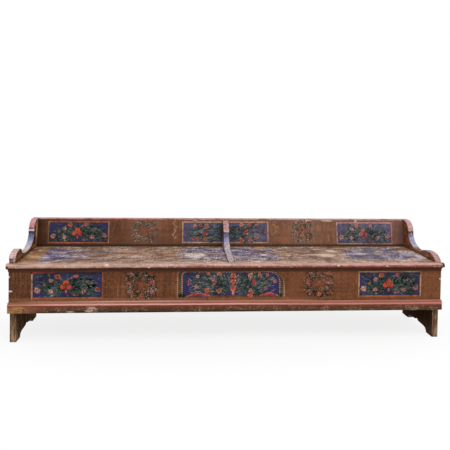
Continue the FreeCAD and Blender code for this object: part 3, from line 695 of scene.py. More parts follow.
def paint_material(name, tone, ground, wear, second=None):
    """Old brush paint: clouded tone that drifts to a second one, worn through to the ground in spots."""
    s = Shader(name)
    cloud = s.times(s.plus(s.noise(45.0, 4.0, 0.6), s.noise(9.0, 3.0, 0.6)), 0.5)
    brush = s.streaks((60.0, 60.0, 220.0), 5.0, 0.7, (1, 4, 2))
    spots = s.noise(150.0, 5.0, 0.75)
    lines = s.streaks((7.0, 160.0, 160.0), 4.0, 0.7, (5, 1, 2))
    darker = shade(tone, 0.5)
    lighter = tuple(min(1.0, 1.28 * c + 0.015) for c in tone[:3]) + (1,)
    colour = s.ramp(cloud, (0.40, darker), (0.50, tone), (0.62, lighter))
    if second:
        colour = s.coats(colour, (second, s.rise(s.noise(6.0, 2.0, 0.5), 0.48, 0.60)))
    worn = s.times(s.most(s.rise(spots, 0.58, 0.70), s.rise(lines, 0.62, 0.70)), wear)
    colour = s.coats(colour, (darker, s.rise(brush, 0.5, 0.7), 0.35), (ground, worn))
    s.set(Base_Color=colour, Specular_IOR_Level=GLOSS, Roughness=s.plus(0.48, s.times(worn, 0.25)))
    s.bump(s.minus(brush, worn), 0.3, 0.0006)
    return s


def place_material(shader, names):
    """Gives CAD nodes one material."""
    for name in names:
        mesh = nodes[name].data
        mesh.materials.clear()
        mesh.materials.append(shader.material)


def add_object(name, data):
    thing = bpy.data.objects.new(name, data)
    bpy.context.collection.objects.link(thing)
    return thing


# Painted ornament: thin closed pieces on the boards, in mm; a shape of a higher layer covers the lower ones

MM = 0.001
PAINT_LIFT = 0.15
LAYER_STEP = 0.09
FIELD_LAYER, LINE_LAYER, STALK_LAYER, LEAF_LAYER, DAB_LAYER, STROKE_LAYER, ROSE_LAYER = 0, 1, 2, 3, 5, 5.6, 7
FIELD_INSET = 2
LEAF_PLACES = 10
# Widths of brush strokes from end to end
STALK_WIDTHS = [3.2 - 0.12 * i for i in range(13)]
LEAF_EDGE = (0.5, 1.2, 1.7, 1.7, 1.2, 0.4)
FINE_STROKE = (0.6, 2.2, 3.0, 2.7, 1.8, 0.5)
FLOWER_STROKE = (1, 2.5, 4, 4, 4, 2.5, 1)
CURL_STROKE = (4.6, 5.4, 5.4, 4.6, 3.6, 1.2)
RED_STROKE = (10, 10, 9, 10, 9, 8, 8, 6, 3)
# Tones of the strokes on leaves and of the leaves, and tones and count of the fine strokes between flowers
FRESH = (None, "light_green", "light_green", "grey"), ("green", "green", "faded_green", "teal")
FADED = ("light_green", "grey", "grey", "pale_blue"), ("green", "teal", "faded_green")
FRESH_PALE = ("faded_green", "faded_green", "light_green", "grey", "faded_green"), 84
CENTRE_PALE = ("faded_green", "light_green", "grey", "cream", "pale_pink", "pale_blue"), 130
FADED_PALE = ("light_green", "grey", "grey", "cream", "pale_blue"), 190
FRONT_WREATH_STROKES = ("cream", None, None, "leaf", "tan")
BACK_WREATH_STROKES = ("leaf", "cream", "tan", "cream")
# Tones that take the place of others where the paint has faded
FADED_FLOWERS = {"vermilion": "salmon", "scarlet": "pink", "red": "pink", "orange": "salmon"}
FADED_WREATH = {"crimson": "red", "vermilion": "salmon", "pink": "pale_pink"}
# Paints: tone, ground that shows where it is worn, wear, and a second tone that it drifts to
TONES = {
    "slate": (SLATE, BROWN_DARK, 0.4, (0.025, 0.023, 0.078, 1)),
    "pale_slate": ((0.088, 0.072, 0.120, 1), OLD_WOOD, 0.6, (0.056, 0.064, 0.152, 1)),
    "shadow": ((0.015, 0.019, 0.028, 1), SLATE, 0.7), "grey": ((0.19, 0.20, 0.20, 1), SLATE, 0.6),
    "pale_blue": ((0.17, 0.18, 0.28, 1), SLATE, 0.6), "red": ((0.25, 0.032, 0.026, 1), BROWN_DARK, 0.5),
    "crimson": ((0.33, 0.04, 0.055, 1), MADDER, 0.4),
    "vermilion": ((0.40, 0.070, 0.030, 1), MADDER, 0.5),
    "scarlet": ((0.50, 0.052, 0.022, 1), MADDER, 0.35), "orange": ((0.36, 0.11, 0.042, 1), MADDER, 0.55),
    "salmon": ((0.33, 0.115, 0.07, 1), MADDER, 0.5), "pink": ((0.40, 0.14, 0.14, 1), MADDER, 0.5),
    "pale_pink": (DUSTY_PINK, BROWN, 0.6), "purple": ((0.13, 0.045, 0.09, 1), SLATE, 0.5),
    "madder": (MADDER, BROWN_DARK, 0.5), "rust": (RUST_LINE, BROWN, 0.65), "ochre": (OCHRE, BROWN, 0.6),
    "tan": ((0.33, 0.175, 0.105, 1), BROWN, 0.6), "sand": ((0.40, 0.22, 0.155, 1), BROWN, 0.6),
    "cream": ((0.33, 0.27, 0.23, 1), OLD_WOOD, 0.6), "ivory": (CREAM, OLD_WOOD, 0.4),
    "green": (GREEN, SLATE, 0.3), "teal": ((0.020, 0.045, 0.042, 1), GREEN, 0.4),
    "light_green": ((0.125, 0.155, 0.115, 1), GREEN, 0.5),
    "faded_green": ((0.055, 0.075, 0.062, 1), SLATE, 0.5),
    "leaf": ((0.036, 0.050, 0.018, 1), BROWN_DARK, 0.35),
    "dark_leaf": ((0.013, 0.018, 0.008, 1), BROWN_DARK, 0.3),
    "faded_leaf": ((0.085, 0.080, 0.045, 1), BROWN, 0.6),
}
# Flowers of the side panels: place as a share of the half panel, radius and tones
SIDE_BOUQUET = (
    (0.245, 0.80, 16, "red", "pink"), (-0.29, 0.76, 19, "vermilion", "orange"),
    (-0.48, 0.42, 16, "cream", "red"), (-0.87, -0.40, 21, "salmon", "cream"),
    (-0.48, -0.50, 15, "pink", "cream"), (-0.45, -0.84, 8, "cream", "grey"),
    (0.47, -0.50, 17, "red", "cream"), (0.88, -0.34, 18, "salmon", "red"),
    (0.19, -0.78, 10, "pink", "purple"), (0.29, -0.76, 8, "purple", "pink"),
    (0.115, 0.66, 7, "grey", "pink"), (0.58, 0.34, 11, "purple", "grey"),
    (0.70, 0.20, 8, "grey", "purple"), (-0.67, 0.06, 10, "ochre", "light_green"),
)
# Tips of their leafy sprays, as shares too
SPRAYS = (
    (-0.60, 0.80), (0.50, 0.84), (0.74, 0.52), (-0.72, 0.20), (0.84, 0.05), (-0.80, -0.12), (0.36, 0.45),
    (-0.22, 0.5), (0.62, -0.25), (-0.64, -0.75), (0.66, -0.82), (0.40, 0.10), (-0.40, 0.06), (0.92, 0.30),
    (0.90, -0.62), (-0.55, 0.55), (0.05, 0.9), (-0.75, -0.45),
)
# Lobes of the large flower: place in radii and tones
LOBES = (
    (0.0, 0.72, "vermilion", "scarlet"), (-0.72, -0.14, "scarlet", "vermilion"),
    (0.55, -0.1, "crimson", "scarlet"),
)
# Dabs: tone, count and size
SIDE_DABS = (("light_green", 16, 9), ("pale_blue", 12, 7), ("purple", 6, 9), ("cream", 6, 6))
CENTRE_DABS = (("light_green", 22, 10), ("grey", 12, 9), ("purple", 10, 10), ("cream", 12, 6))
# Flowers of the middle panels: place, radius, tones and, where it isn't 1, height over width
FRONT_CENTRE_FLOWERS = (
    (-74, 422, 15, "orange", "ochre"), (-105, 372, 15, "pink", "red", 1.6),
    (-146, 424, 12, "vermilion", "orange"), (-209, 407, 13, "pink", "cream"),
    (-216, 346, 13, "orange", "pink"), (-263, 366, 11, "purple", "pink", 1.6),
    (-152, 319, 17, "vermilion", "orange"), (-77, 317, 17, "orange", "red"),
    (120, 414, 18, "orange", "sand"), (178, 418, 12, "orange", "vermilion", 1.5),
    (224, 414, 13, "red", "pink"), (143, 369, 14, "red", "vermilion", 1.6),
    (273, 376, 13, "pink", "purple"), (218, 333, 12, "purple", "pink"), (120, 317, 16, "red", "ivory"),
)
BACK_CENTRE_FLOWERS = (
    (-215, 628, 15, "salmon", "pale_pink"), (-178, 633, 15, "crimson", "pink"),
    (-133, 628, 19, "salmon", "orange"), (-145, 575, 19, "red", "salmon"),
    (-270, 572, 14, "purple", "pale_pink"), (-236, 543, 13, "crimson", "pink"),
    (-196, 540, 15, "crimson", "pink"), (-139, 538, 15, "salmon", "ochre"),
    (117, 636, 19, "salmon", "pale_pink"), (174, 638, 17, "vermilion", "pink"),
    (150, 586, 21, "crimson", "pink"), (117, 532, 17, "vermilion", "pink"),
    (178, 534, 16, "crimson", "pink"), (220, 555, 14, "pink", "purple"),
    (272, 586, 14, "purple", "pink"), (226, 634, 14, "purple", "pale_pink"),
)
# Tips of their leafy sprays, x alone
CENTRE_SPRAYS = (-262, -225, -180, -122, -60, 62, 95, 168, 205, 255)
# The front's middle panel: foot, top, half width and corner radii
FRONT_LOW, FRONT_HIGH, FRONT_HALF, FRONT_CORNERS = 288, 434, 300, (26, 60)
FRONT_SEED = 31
# Arched lines round it: how far beside, below and above, corner radii, tone, width, dots' tone, size and gap
FRONT_LINES = (
    (5, 1.25, 0.625, (23.5, 67), "madder", 7, "pale_pink", 4.6, 13),
    (33, 8.25, 4.125, (9.5, 95), "rust", 7, "sand", 4.6, 13),
    (19, 6, 3, (18, 80), "leaf", 13, "light_green", 2.6, 15),
)
# Roses on its stalk: height and radius
FRONT_STALK_X = 12
STALK_ROSES = ((411, 17), (374, 17), (333, 18))
# Ends of its swags, and their ribbons: tone, inset left and right, height, sag, width, swelling and layer
SWAGS = ((-270, -130), (178, 296))
SWAG_RIBBONS = (
    ("purple", 14, 14, 280, 8, 4, 8, 7), ("vermilion", 0, 0, 284, 13, 7, 8, 8),
    ("crimson", 24, 12, 285, 12, 3, 9, 9), ("pink", 40, 24, 292, 10, 1, 4, 9.6),
)
SWELL = [math.sin(math.pi * i / 14) for i in range(15)]
# Tufts of leaves at its foot: x and lean
TUFTS = ((-318, 1), (-300, 1), (318, -1), (300, -1))
TUFT_Z = 276
# The backrest's middle panel: frame, and foot and top of its flowers
BACK_BOX = (-308, 510, 313, 661)
BACK_LOW, BACK_HIGH = 520, 652
BACK_SEED = 47
# Roses of a wreath: place as a share of its half size, radius and tone
WREATH_ROSES = (
    (-0.59, 0.78, 12, "pink"), (-0.04, 0.91, 12, "red"), (0.63, 0.80, 15, "red"),
    (-0.70, 0.11, 14, "vermilion"), (0.68, 0.15, 17, "crimson"), (-0.57, -0.61, 14, "red"),
    (0.02, -0.75, 15, "vermilion"), (0.70, -0.57, 15, "red"), (-0.36, -0.26, 10, "madder"),
    (0.28, 0.30, 10, "madder"), (-0.05, 0.1, 12, "madder"), (0.2, -0.3, 9, "rust"),
)
# Its petals: tone, count, and how far out they lie at least and at most
WREATH_PETALS = (
    ("ivory", 11, 0.5, 1.04), ("pink", 22, 0.4, 1.0), ("rust", 26, 0.0, 0.5), ("madder", 30, 0.1, 0.7),
)
WREATH_LEAVES = 205
WREATH_SQUARENESS = 0.7
paints = {}


def paint_of(tone):
    if tone not in paints:
        paints[tone] = paint_material("paint_" + tone, *TONES[tone])
    return paints[tone].material


class Painter:
    """Paints on the largest front-facing face of a node. Places are x and height in mm."""

    def __init__(self, node, name):
        faces = [f for f in nodes[node].data.polygons if f.normal.y < -0.9]
        face = max(faces, key=lambda f: f.area)
        self.normal = face.normal.copy()
        self.origin = face.center.copy()
        self.up = self.normal.cross(Vector((1, 0, 0)))
        self.name = name
        self.strokes, self.leaves = FRESH
        self.pale, self.amount = FRESH_PALE
        self.fade = {}
        self.meshes = {}

    def point(self, x, z, lift):
        climb = (z * MM - self.origin.z) / self.up.z
        place = self.origin + self.up * climb + self.normal * (lift * MM)
        place.x = x * MM
        return place

    def sheet(self, tone, layer):
        mesh = self.meshes.setdefault(self.fade.get(tone, tone), bmesh.new())
        return mesh, PAINT_LIFT + LAYER_STEP * layer

    def shape(self, tone, outline, layer):
        """A closed outline, counter-clockwise seen from the front."""
        mesh, lift = self.sheet(tone, layer)
        top = [mesh.verts.new(self.point(x, z, lift)) for x, z in outline]
        low = [mesh.verts.new(self.point(x, z, 0.0)) for x, z in outline]
        mesh.faces.new(top)
        mesh.faces.new(reversed(low))
        for side in zip(low, low[1:] + low[:1], top[1:] + top[:1], top):
            mesh.faces.new(side)

    def ribbon(self, tone, path, widths, layer):
        """A band along a path, with a width for each point."""
        mesh, lift = self.sheet(tone, layer)
        rows = []
        for before, (x, z), after, width in zip(path[:1] + path, path, path[1:] + path[-1:], widths):
            dx, dz = after[0] - before[0], after[1] - before[1]
            size = math.hypot(dx, dz) or 1.0
            ox, oz = -dz / size * width / 2, dx / size * width / 2
            one, other = (x - ox, z - oz), (x + ox, z + oz)
            corners = ((*one, 0.0), (*one, lift), (*other, lift), (*other, 0.0))
            rows.append([mesh.verts.new(self.point(*c)) for c in corners])
        for a, b in zip(rows, rows[1:]):
            for k in range(4):
                mesh.faces.new((a[k], b[k], b[(k + 1) % 4], a[(k + 1) % 4]))
        mesh.faces.new(reversed(rows[0]))
        mesh.faces.new(rows[-1])

    def line(self, tone, path, width, layer):
        self.ribbon(tone, path, [width] * len(path), layer)

    def stroke(self, tone, start, end, sag, widths, layer):
        self.ribbon(tone, bend(start, end, sag, len(widths)), widths, layer)

    def hang(self, body):
        for tone, shapes in self.meshes.items():
            bmesh.ops.recalc_face_normals(shapes, faces=shapes.faces)
            mesh = bpy.data.meshes.new(self.name + "_" + tone)
            shapes.to_mesh(mesh)
            shapes.free()
            mesh.materials.append(paint_of(tone))
            piece = add_object(mesh.name, mesh)
            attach(piece, body)


def bend(a, b, sag, count):
    """Points of a curve from a to b that bows sideways by sag."""
    (ax, az), (bx, bz) = a, b
    dx, dz = bx - ax, bz - az
    size = math.hypot(dx, dz) or 1.0
    cx, cz = (ax + bx) / 2 - dz / size * sag * 2, (az + bz) / 2 + dx / size * sag * 2
    points = []
    for i in range(count):
        t = i / (count - 1)
        s = 1 - t
        points.append((s * s * ax + 2 * s * t * cx + t * t * bx, s * s * az + 2 * s * t * cz + t * t * bz))
    return points


def ring(x, z, rx, rz, reaches):
    """Points round a middle, each at a share of the radii."""
    count = len(reaches)
    angles = [2 * math.pi * i / count for i in range(count)]
    return [(x + rx * r * math.cos(a), z + rz * r * math.sin(a)) for a, r in zip(angles, reaches)]


def blob(x, z, rx, rz, rng, wobble=0.3, count=14):
    """Outline of an oval with an uneven, brushed edge."""
    return ring(x, z, rx, rz, [1.0 + wobble * rng.uniform(-0.5, 0.5) for _ in range(count)])


def petal(x, z, angle, length, width, fullness=0.62):
    """Outline of a petal that starts at a point and is widest at fullness of its length."""
    side = []
    steps = 7
    for i in range(1, steps):
        t = i / steps
        swell = math.sin(math.pi * t ** (math.log(0.5) / math.log(fullness)))
        side.append((length * t, 0.5 * width * swell))
    outline = [(0.0, 0.0)] + [(u, -v) for u, v in side] + [(length, 0.0)] + side[::-1]
    c, s = math.cos(angle), math.sin(angle)
    return [(x + u * c - v * s, z + u * s + v * c) for u, v in outline]


def leaf(p, x, z, angle, length, rng, turn, fat, tone):
    """A leaf, higher at every other turn; most have a thin pale stroke along one edge."""
    layer = LEAF_LAYER + 2 * (turn % 2)
    p.shape(tone, petal(x, z, angle, length, fat * length, 0.45), layer)
    stroke = rng.choice(p.strokes)
    if stroke:
        tip = (x + 0.9 * length * math.cos(angle), z + 0.9 * length * math.sin(angle))
        p.stroke(stroke, (x, z), tip, rng.choice((-0.3, 0.3)) * fat * length, LEAF_EDGE, layer + 1)


def stem(p, root, top, sag, rng, size=32, gap=18):
    """A stalk with long leaves on both sides in turn."""
    path = bend(root, top, sag, len(STALK_WIDTHS))
    p.ribbon("green", path, STALK_WIDTHS, STALK_LAYER)
    count = max(1, int(math.dist(root, top) / gap))
    for k in range(count):
        i = 1 + int(LEAF_PLACES * (k + 0.4) / count)
        (x0, z0), (x1, z1) = path[i], path[i + 1]
        side = 1 if k % 2 else -1
        angle = math.atan2(z1 - z0, x1 - x0) + side * rng.uniform(0.25, 0.75)
        tone = rng.choice(p.leaves)
        leaf(p, x0, z0, angle, size * rng.uniform(0.7, 1.25), rng, k, 0.36, tone)


def rose(p, x, z, r, body, light, rng, tall=1.0):
    """An open rose: petals in two tones over a dark ground, with pale curls and a dark heart to one side."""
    p.shape("madder", blob(x, z, 1.1 * r, 1.1 * r * tall, rng, 0.5), ROSE_LAYER)
    turn = rng.uniform(0, 2 * math.pi)
    rows = ((body, 6, 0.3, 1.25, 0.8, 0.68, (1, 2)), (light, 4, 0.5, 1.15, 0.42, 0.7, (2.5, 2.5)))
    for tone, count, sway, longest, width, fullness, lifts in rows:
        for k in range(count):
            a = turn + 2 * k * math.pi / count + rng.uniform(-sway, sway)
            reach = math.hypot(math.cos(a), tall * math.sin(a)) * rng.uniform(0.7, longest)
            p.shape(tone, petal(x, z, a, r * reach, width * r, fullness), ROSE_LAYER + lifts[k % 2])
    for k in range(3):
        a = turn + 2.1 * k + rng.uniform(-0.5, 0.5)
        start, end = ((x + 0.9 * r * math.cos(b), z + 0.9 * r * tall * math.sin(b)) for b in (a, a + 0.9))
        tone = "ivory" if k == 0 and r > 9 else "cream"
        widths = (0.4, 0.1 * r, 0.18 * r, 0.18 * r, 0.1 * r, 0.4)
        p.stroke(tone, start, end, -0.16 * r, widths, ROSE_LAYER + 3)
    x, z = x + r * rng.uniform(-0.3, 0.3), z + r * tall * rng.uniform(-0.3, 0.3)
    p.shape("madder", blob(x, z, 0.26 * r, 0.18 * r * tall, rng, 0.6, 9), ROSE_LAYER + 4)


def big_flower(p, x, z, r, rng):
    """The large three-lobed flower in the middle of a side panel, with its hanging bud."""
    ground, low, mid, high = (ROSE_LAYER + i for i in range(4))
    for dx, dz, body, light in LOBES:
        p.shape("madder", blob(x + dx * r, z + dz * r, 0.70 * r, 0.64 * r, rng), ground)
        p.shape(body, blob(x + dx * r, z + dz * r, 0.64 * r, 0.58 * r, rng), low)
        for k in (-1, 0, 1):
            a = math.atan2(dz, dx) + 0.5 * k
            p.shape(light, petal(x + 0.35 * dx * r, z + 0.35 * dz * r, a, 0.9 * r, 0.3 * r), mid)
    p.stroke("ochre", (x - 0.2 * r, z), (x + 0.42 * r, z + 0.95 * r), -0.2 * r, FLOWER_STROKE, high)
    p.shape("ochre", blob(x, z, 0.26 * r, 0.16 * r, rng), high)
    p.shape("crimson", petal(x, z - 0.45 * r, -math.pi / 2, 1.25 * r, 0.6 * r), low)
    p.shape("pink", petal(x + 0.1 * r, z - 0.5 * r, -math.pi / 2 - 0.2, 0.9 * r, 0.26 * r), mid)


def dabs(p, box, rows, rng):
    """Small petals all over a box."""
    x0, z0, x1, z1 = box
    tones = [(tone, size) for tone, count, size in rows for _ in range(count)]
    spots = [(rng.uniform(x0, x1), rng.uniform(z0, z1)) for _ in tones]
    for (tone, size), (x, z) in zip(tones, spots):
        p.shape(tone, petal(x, z, rng.uniform(0, 6.28), size * rng.uniform(0.8, 1.4), 0.4 * size), DAB_LAYER)


def brush_strokes(p, box, root, count, rng):
    """Fine pale strokes between the flowers, that curl away from a root."""
    x0, z0, x1, z1 = box
    for k in range(count):
        x, z = rng.uniform(x0, x1), rng.uniform(z0, z1)
        angle = math.atan2(z - root[1], x - root[0]) + rng.uniform(-0.6, 0.6)
        run = rng.uniform(18, 42)
        tip = (x + run * math.cos(angle), z + run * math.sin(angle))
        if x0 < tip[0] < x1 and z0 < tip[1] < z1:
            sag = rng.choice((-0.14, 0.14)) * run
            p.stroke(rng.choice(p.pale), (x, z), tip, sag, FINE_STROKE, STROKE_LAYER + 0.6 * k / count)


def framed(p, box, border, tones, ground, rng):
    """A field with four brushed lines round it; tones are left, bottom, right, top."""
    x0, z0, x1, z1 = box
    left, low, right, high = x0 + FIELD_INSET, z0 + FIELD_INSET, x1 - FIELD_INSET, z1 - FIELD_INSET
    p.shape(ground, [(left, low), (right, low), (right, high), (left, high)], FIELD_LAYER)
    h = border / 2
    upright, level = LINE_LAYER + 1, LINE_LAYER
    lines = (
        ((x0 + h, z0), (x0 + h, z1), upright), ((x0, z0 + h), (x1, z0 + h), level),
        ((x1 - h, z0), (x1 - h, z1), upright), ((x0, z1 - h), (x1, z1 - h), level),
    )
    for tone, (start, end, layer) in zip(tones, lines):
        path = bend(start, end, rng.uniform(-0.6, 0.6), 15)
        p.ribbon(tone, path, [border * rng.uniform(0.75, 1.05) for _ in path], layer)


def side_panel(p, box, border, tones, seed, ground="slate"):
    """A framed bouquet: leafy sprays, flowers on stems, fine strokes and dabs."""
    rng = random.Random(seed)
    framed(p, box, border, tones, ground, rng)
    x0, z0, x1, z1 = box
    cx, cz = (x0 + x1) / 2, (z0 + z1) / 2
    hx, hz = (x1 - x0) / 2 - border, (z1 - z0) / 2 - border
    root = (cx - 0.04 * hx, cz - 0.30 * hz)
    for u, v in SPRAYS:
        top = (cx + u * hx, cz + v * hz)
        side = 1 if u * v > 0 else -1
        if side > 0 and ground == "slate":
            run = math.dist(root, top)
            angle = math.atan2(top[1] - root[1], top[0] - root[0])
            p.shape("shadow", petal(*root, angle, run, 0.35 * run, 0.6), LINE_LAYER)
        stem(p, root, top, 10 * rng.uniform(0.3, 1.0) * side, rng)
    for u, v, r, body, light in SIDE_BOUQUET:
        x, z = cx + u * hx, cz + v * hz
        stem(p, root, (x, z), 12 * rng.uniform(0.2, 1.0) * (1 if u > 0 else -1), rng, 28, 22)
        rose(p, x, z, 0.88 * r, body, light, rng, 0.85)
    big_flower(p, root[0], root[1] + 0.25 * hz, 27, rng)
    brush_strokes(p, (cx - hx, cz - hz, cx + hx, cz + hz), root, p.amount, rng)
    dabs(p, (cx - 0.92 * hx, cz - 0.9 * hz, cx + 0.92 * hx, cz + 0.9 * hz), SIDE_DABS, rng)


def centre_flowers(p, flowers, low, high, rng):
    """Flowers that grow to both sides from a middle stalk."""
    for x in CENTRE_SPRAYS:
        for share in (0.3, 0.72):
            z = low + (high - low) * (share + rng.uniform(-0.15, 0.15))
            p.shape(p.leaves[1], blob(0.8 * x, z, 30, 15, rng), LINE_LAYER)
            stem(p, (x * 0.45, z - 26), (x, z), rng.choice((-12, 12)), rng, 28, 15)
    for x, z, r, body, light, *tall in flowers:
        root = (0.12 * x, low + (z - low) * 0.55)
        stem(p, root, (x, z), 13 * rng.uniform(0.2, 1.0) * (1 if x > 0 else -1), rng, 28, 18)
        rose(p, x, z, 0.88 * r, body, light, rng, *tall)
    brush_strokes(p, (-280, low + 6, 280, high - 6), (0, low + 20), p.amount * 3 // 2, rng)
    dabs(p, (-275, low + 12, 275, high - 10), CENTRE_DABS, rng)


def arched(half, low, high, corners, count=8):
    """Path up the left side, over two rounded corners and down the right side."""
    path = []
    for side, corner in zip((-1, 1), corners):
        edge = side * half
        arc = [(edge, low), (edge, (low + high - corner) / 2)]
        for i in range(count + 1):
            a = math.pi / 2 * i / count
            arc.append((edge - side * corner * (1 - math.cos(a)), high - corner + corner * math.sin(a)))
        path += arc if side < 0 else arc[::-1]
    return path


def dotted(p, tone, path, size, gap, layer):
    """Small squarish dabs at even steps along a path."""
    spare = 0.0
    for (x0, z0), (x1, z1) in zip(path, path[1:]):
        run = math.hypot(x1 - x0, z1 - z0)
        at = spare
        while at < run:
            t = at / run
            p.shape(tone, ring(x0 + (x1 - x0) * t, z0 + (z1 - z0) * t, size, 0.8 * size, [1.0] * 8), layer)
            at += gap
        spare = at - run


def front_centre_panel(p):
    """The arched middle of the front: dotted lines, flowers, a stalk of roses, swags and tufts of leaves."""
    rng = random.Random(FRONT_SEED)
    p.shape("slate", arched(FRONT_HALF, FRONT_LOW, FRONT_HIGH, FRONT_CORNERS)[::-1], FIELD_LAYER)
    for beside, below, above, corners, ground, width, tone, size, gap in FRONT_LINES:
        path = arched(FRONT_HALF + beside, FRONT_LOW - below, FRONT_HIGH + above, corners)
        p.line(ground, path, width, LINE_LAYER)
        dotted(p, tone, path, size, gap, LINE_LAYER + 1)
    centre_flowers(p, FRONT_CENTRE_FLOWERS, FRONT_LOW, FRONT_HIGH, rng)
    x = FRONT_STALK_X
    p.line("green", [(x, FRONT_LOW), (x, FRONT_HIGH - 4)], 5, DAB_LAYER)
    for z, r in STALK_ROSES:
        rose(p, x, z, r, "vermilion", "orange", rng, 1.12)
    p.shape("pink", petal(x, 322, -math.pi / 2, 36, 17), ROSE_LAYER + 1)
    p.shape("crimson", petal(x + 2, 298, -math.pi / 2, 22, 15), ROSE_LAYER + 2)
    for x0, x1 in SWAGS:
        for tone, left, right, z, sag, width, swell, layer in SWAG_RIBBONS:
            p.stroke(tone, (x0 + left, z), (x1 - right, z), sag, [width + swell * w for w in SWELL], layer)
    rose(p, 120, FRONT_LOW, 16, "vermilion", "red", rng, 0.7)
    for x, lean in TUFTS:
        for k in range(4):
            leaf(p, x, TUFT_Z, math.pi / 2 + lean * (0.5 - 0.45 * k), 28, rng, k, 0.4, "dark_leaf")


def back_centre_panel(p):
    rng = random.Random(BACK_SEED)
    framed(p, BACK_BOX, 10, ["sand"] * 4, "pale_slate", rng)
    centre_flowers(p, BACK_CENTRE_FLOWERS, BACK_LOW, BACK_HIGH, rng)


def wreath(p, cx, cz, half, rise, seed, size=1.0, tones=("dark_leaf", "dark_leaf", "leaf"), pale="cream"):
    """A broad squarish ring of leaves with roses and pale blossoms, and red dabs inside it."""
    rng = random.Random(seed)

    def spot(inner, outer):
        a, reach = rng.uniform(0, 2 * math.pi), rng.uniform(inner, outer)
        u, v = (math.copysign(abs(w) ** WREATH_SQUARENESS, w) for w in (math.cos(a), math.sin(a)))
        return cx + reach * half * u, cz + reach * rise * v, a

    for i in range(WREATH_LEAVES):
        x, z, a = spot(0.36, 0.92)
        angle, length = a + rng.uniform(-1.5, 1.5), size * rng.uniform(12, 22)
        leaf(p, x, z, angle, length, rng, i, 0.5, rng.choice(tones))
    for u, v, r, body in WREATH_ROSES:
        light = "salmon" if r > 10 else "rust"
        rose(p, cx + u * half, cz + v * rise, 0.85 * size * size * r, body, light, rng)
    for tone, count, inner, outer in ((pale, 60, 0.40, 1.02),) + WREATH_PETALS:
        for _ in range(count):
            x, z, a = spot(inner, outer)
            outline = petal(x, z, a + rng.uniform(-1, 1), size * rng.uniform(6, 12), size * 5)
            p.shape(tone, outline, ROSE_LAYER)


def vine(p, x, low, high, seed):
    """An upright scrolling tendril with curls and small leaves."""
    rng = random.Random(seed)
    path = [(x + 9 * math.sin(0.075 * z), z) for z in range(low, high, 6)]
    p.line("ochre", path, 5.0, FIELD_LAYER)
    for i in range(1, len(path) - 1, 3):
        px, pz = path[i]
        side = 1 if i % 2 else -1
        p.stroke("tan", (px, pz), (px + side * 19, pz + 11), side * 7, CURL_STROKE, LINE_LAYER)
        angle = math.pi / 2 - side * rng.uniform(0.5, 1.0)
        p.shape("cream", petal(px, pz, angle, 11, 5), LINE_LAYER + 1)


def paint_front():
    p = Painter("front_board", "front_ornament")
    side_panel(p, (-1215, 272, -783, 436), 10, ("tan", "rust", "rust", "shadow"), 11)
    p.stroke("red", (-1215, 431), (-1070, 432), 0.6, RED_STROKE, LINE_LAYER + 1)
    side_panel(p, (806, 272, 1217, 438), 10, ("tan", "rust", "tan", "tan"), 12)
    p.pale, p.amount = CENTRE_PALE
    front_centre_panel(p)
    p.strokes = FRONT_WREATH_STROKES
    wreath(p, -556, 357, 101, 86, 21)
    wreath(p, 556, 357, 101, 86, 22, pale="tan")
    p.hang("carcass")


def paint_back():
    p = Painter("backrest_board", "back_ornament")
    side_panel(p, (-1240, 509, -818, 659), 9, ("ochre", "rust", "tan", "rust"), 13)
    p.strokes, p.leaves = FADED
    p.pale, p.amount = FADED_PALE
    p.fade = FADED_FLOWERS
    side_panel(p, (810, 503, 1226, 658), 9, ("pale_pink", "tan", "pink", "pale_pink"), 14, "pale_slate")
    p.fade = {}
    back_centre_panel(p)
    p.strokes = BACK_WREATH_STROKES
    p.fade = FADED_WREATH
    wreath(p, -572, 592, 88, 76, 23, 0.9, ("faded_leaf", "leaf", "leaf"))
    wreath(p, 563, 594, 80, 74, 24, 0.9, ("faded_leaf", "faded_leaf", "leaf"))
    p.fade = {}
    vine(p, -360, 536, 668, 5)
    vine(p, 360, 536, 668, 6)
    p.hang("carcass")


# Camera, light and stage

def add_camera():
    data = bpy.data.cameras.new("camera")
    camera = add_object("camera", data)
    turn = Matrix.Rotation(CAMERA_YAW, 4, "Z")
    tilt = Matrix.Rotation(math.pi / 2 - CAMERA_PITCH, 4, "X")
    roll = Matrix.Rotation(-CAMERA_ROLL, 4, "Z")
    camera.matrix_world = Matrix.Translation(CAMERA_PLACE) @ turn @ tilt @ roll
    data.sensor_width = SENSOR_MM
    data.lens = SENSOR_MM * FOCAL_PIXELS / IMAGE_SIZE
    data.shift_y = (HORIZON_PIXEL - IMAGE_SIZE / 2) / IMAGE_SIZE
    bpy.context.scene.camera = camera


def add_light(name, place, aim, size, power):
    data = bpy.data.lights.new(name, "AREA")
    data.shape = "RECTANGLE"
    data.size, data.size_y = size
    data.energy = power
    lamp = add_object(name, data)
    lamp.location = place
    lamp.rotation_euler = (Vector(aim) - Vector(place)).to_track_quat("-Z", "Y").to_euler()


def add_world():
    world = bpy.data.worlds.new("studio")
    bpy.context.scene.world = world
    world.use_nodes = True
    tree = world.node_tree
    background = tree.nodes["Background"]
    path = tree.nodes.new("ShaderNodeLightPath")
    seen = tree.nodes.new("ShaderNodeMath")
    seen.operation = "MAXIMUM"
    tree.links.new(path.outputs["Is Camera Ray"], seen.inputs[0])
    tree.links.new(path.outputs["Is Transmission Ray"], seen.inputs[1])
    strength = tree.nodes.new("ShaderNodeMapRange")
    tree.links.new(seen.outputs[0], strength.inputs["Value"])
    strength.inputs["To Min"].default_value = WORLD_LIGHT
    strength.inputs["To Max"].default_value = 1.0
    tree.links.new(strength.outputs["Result"], background.inputs["Strength"])
    background.inputs["Color"].default_value = PURE_WHITE


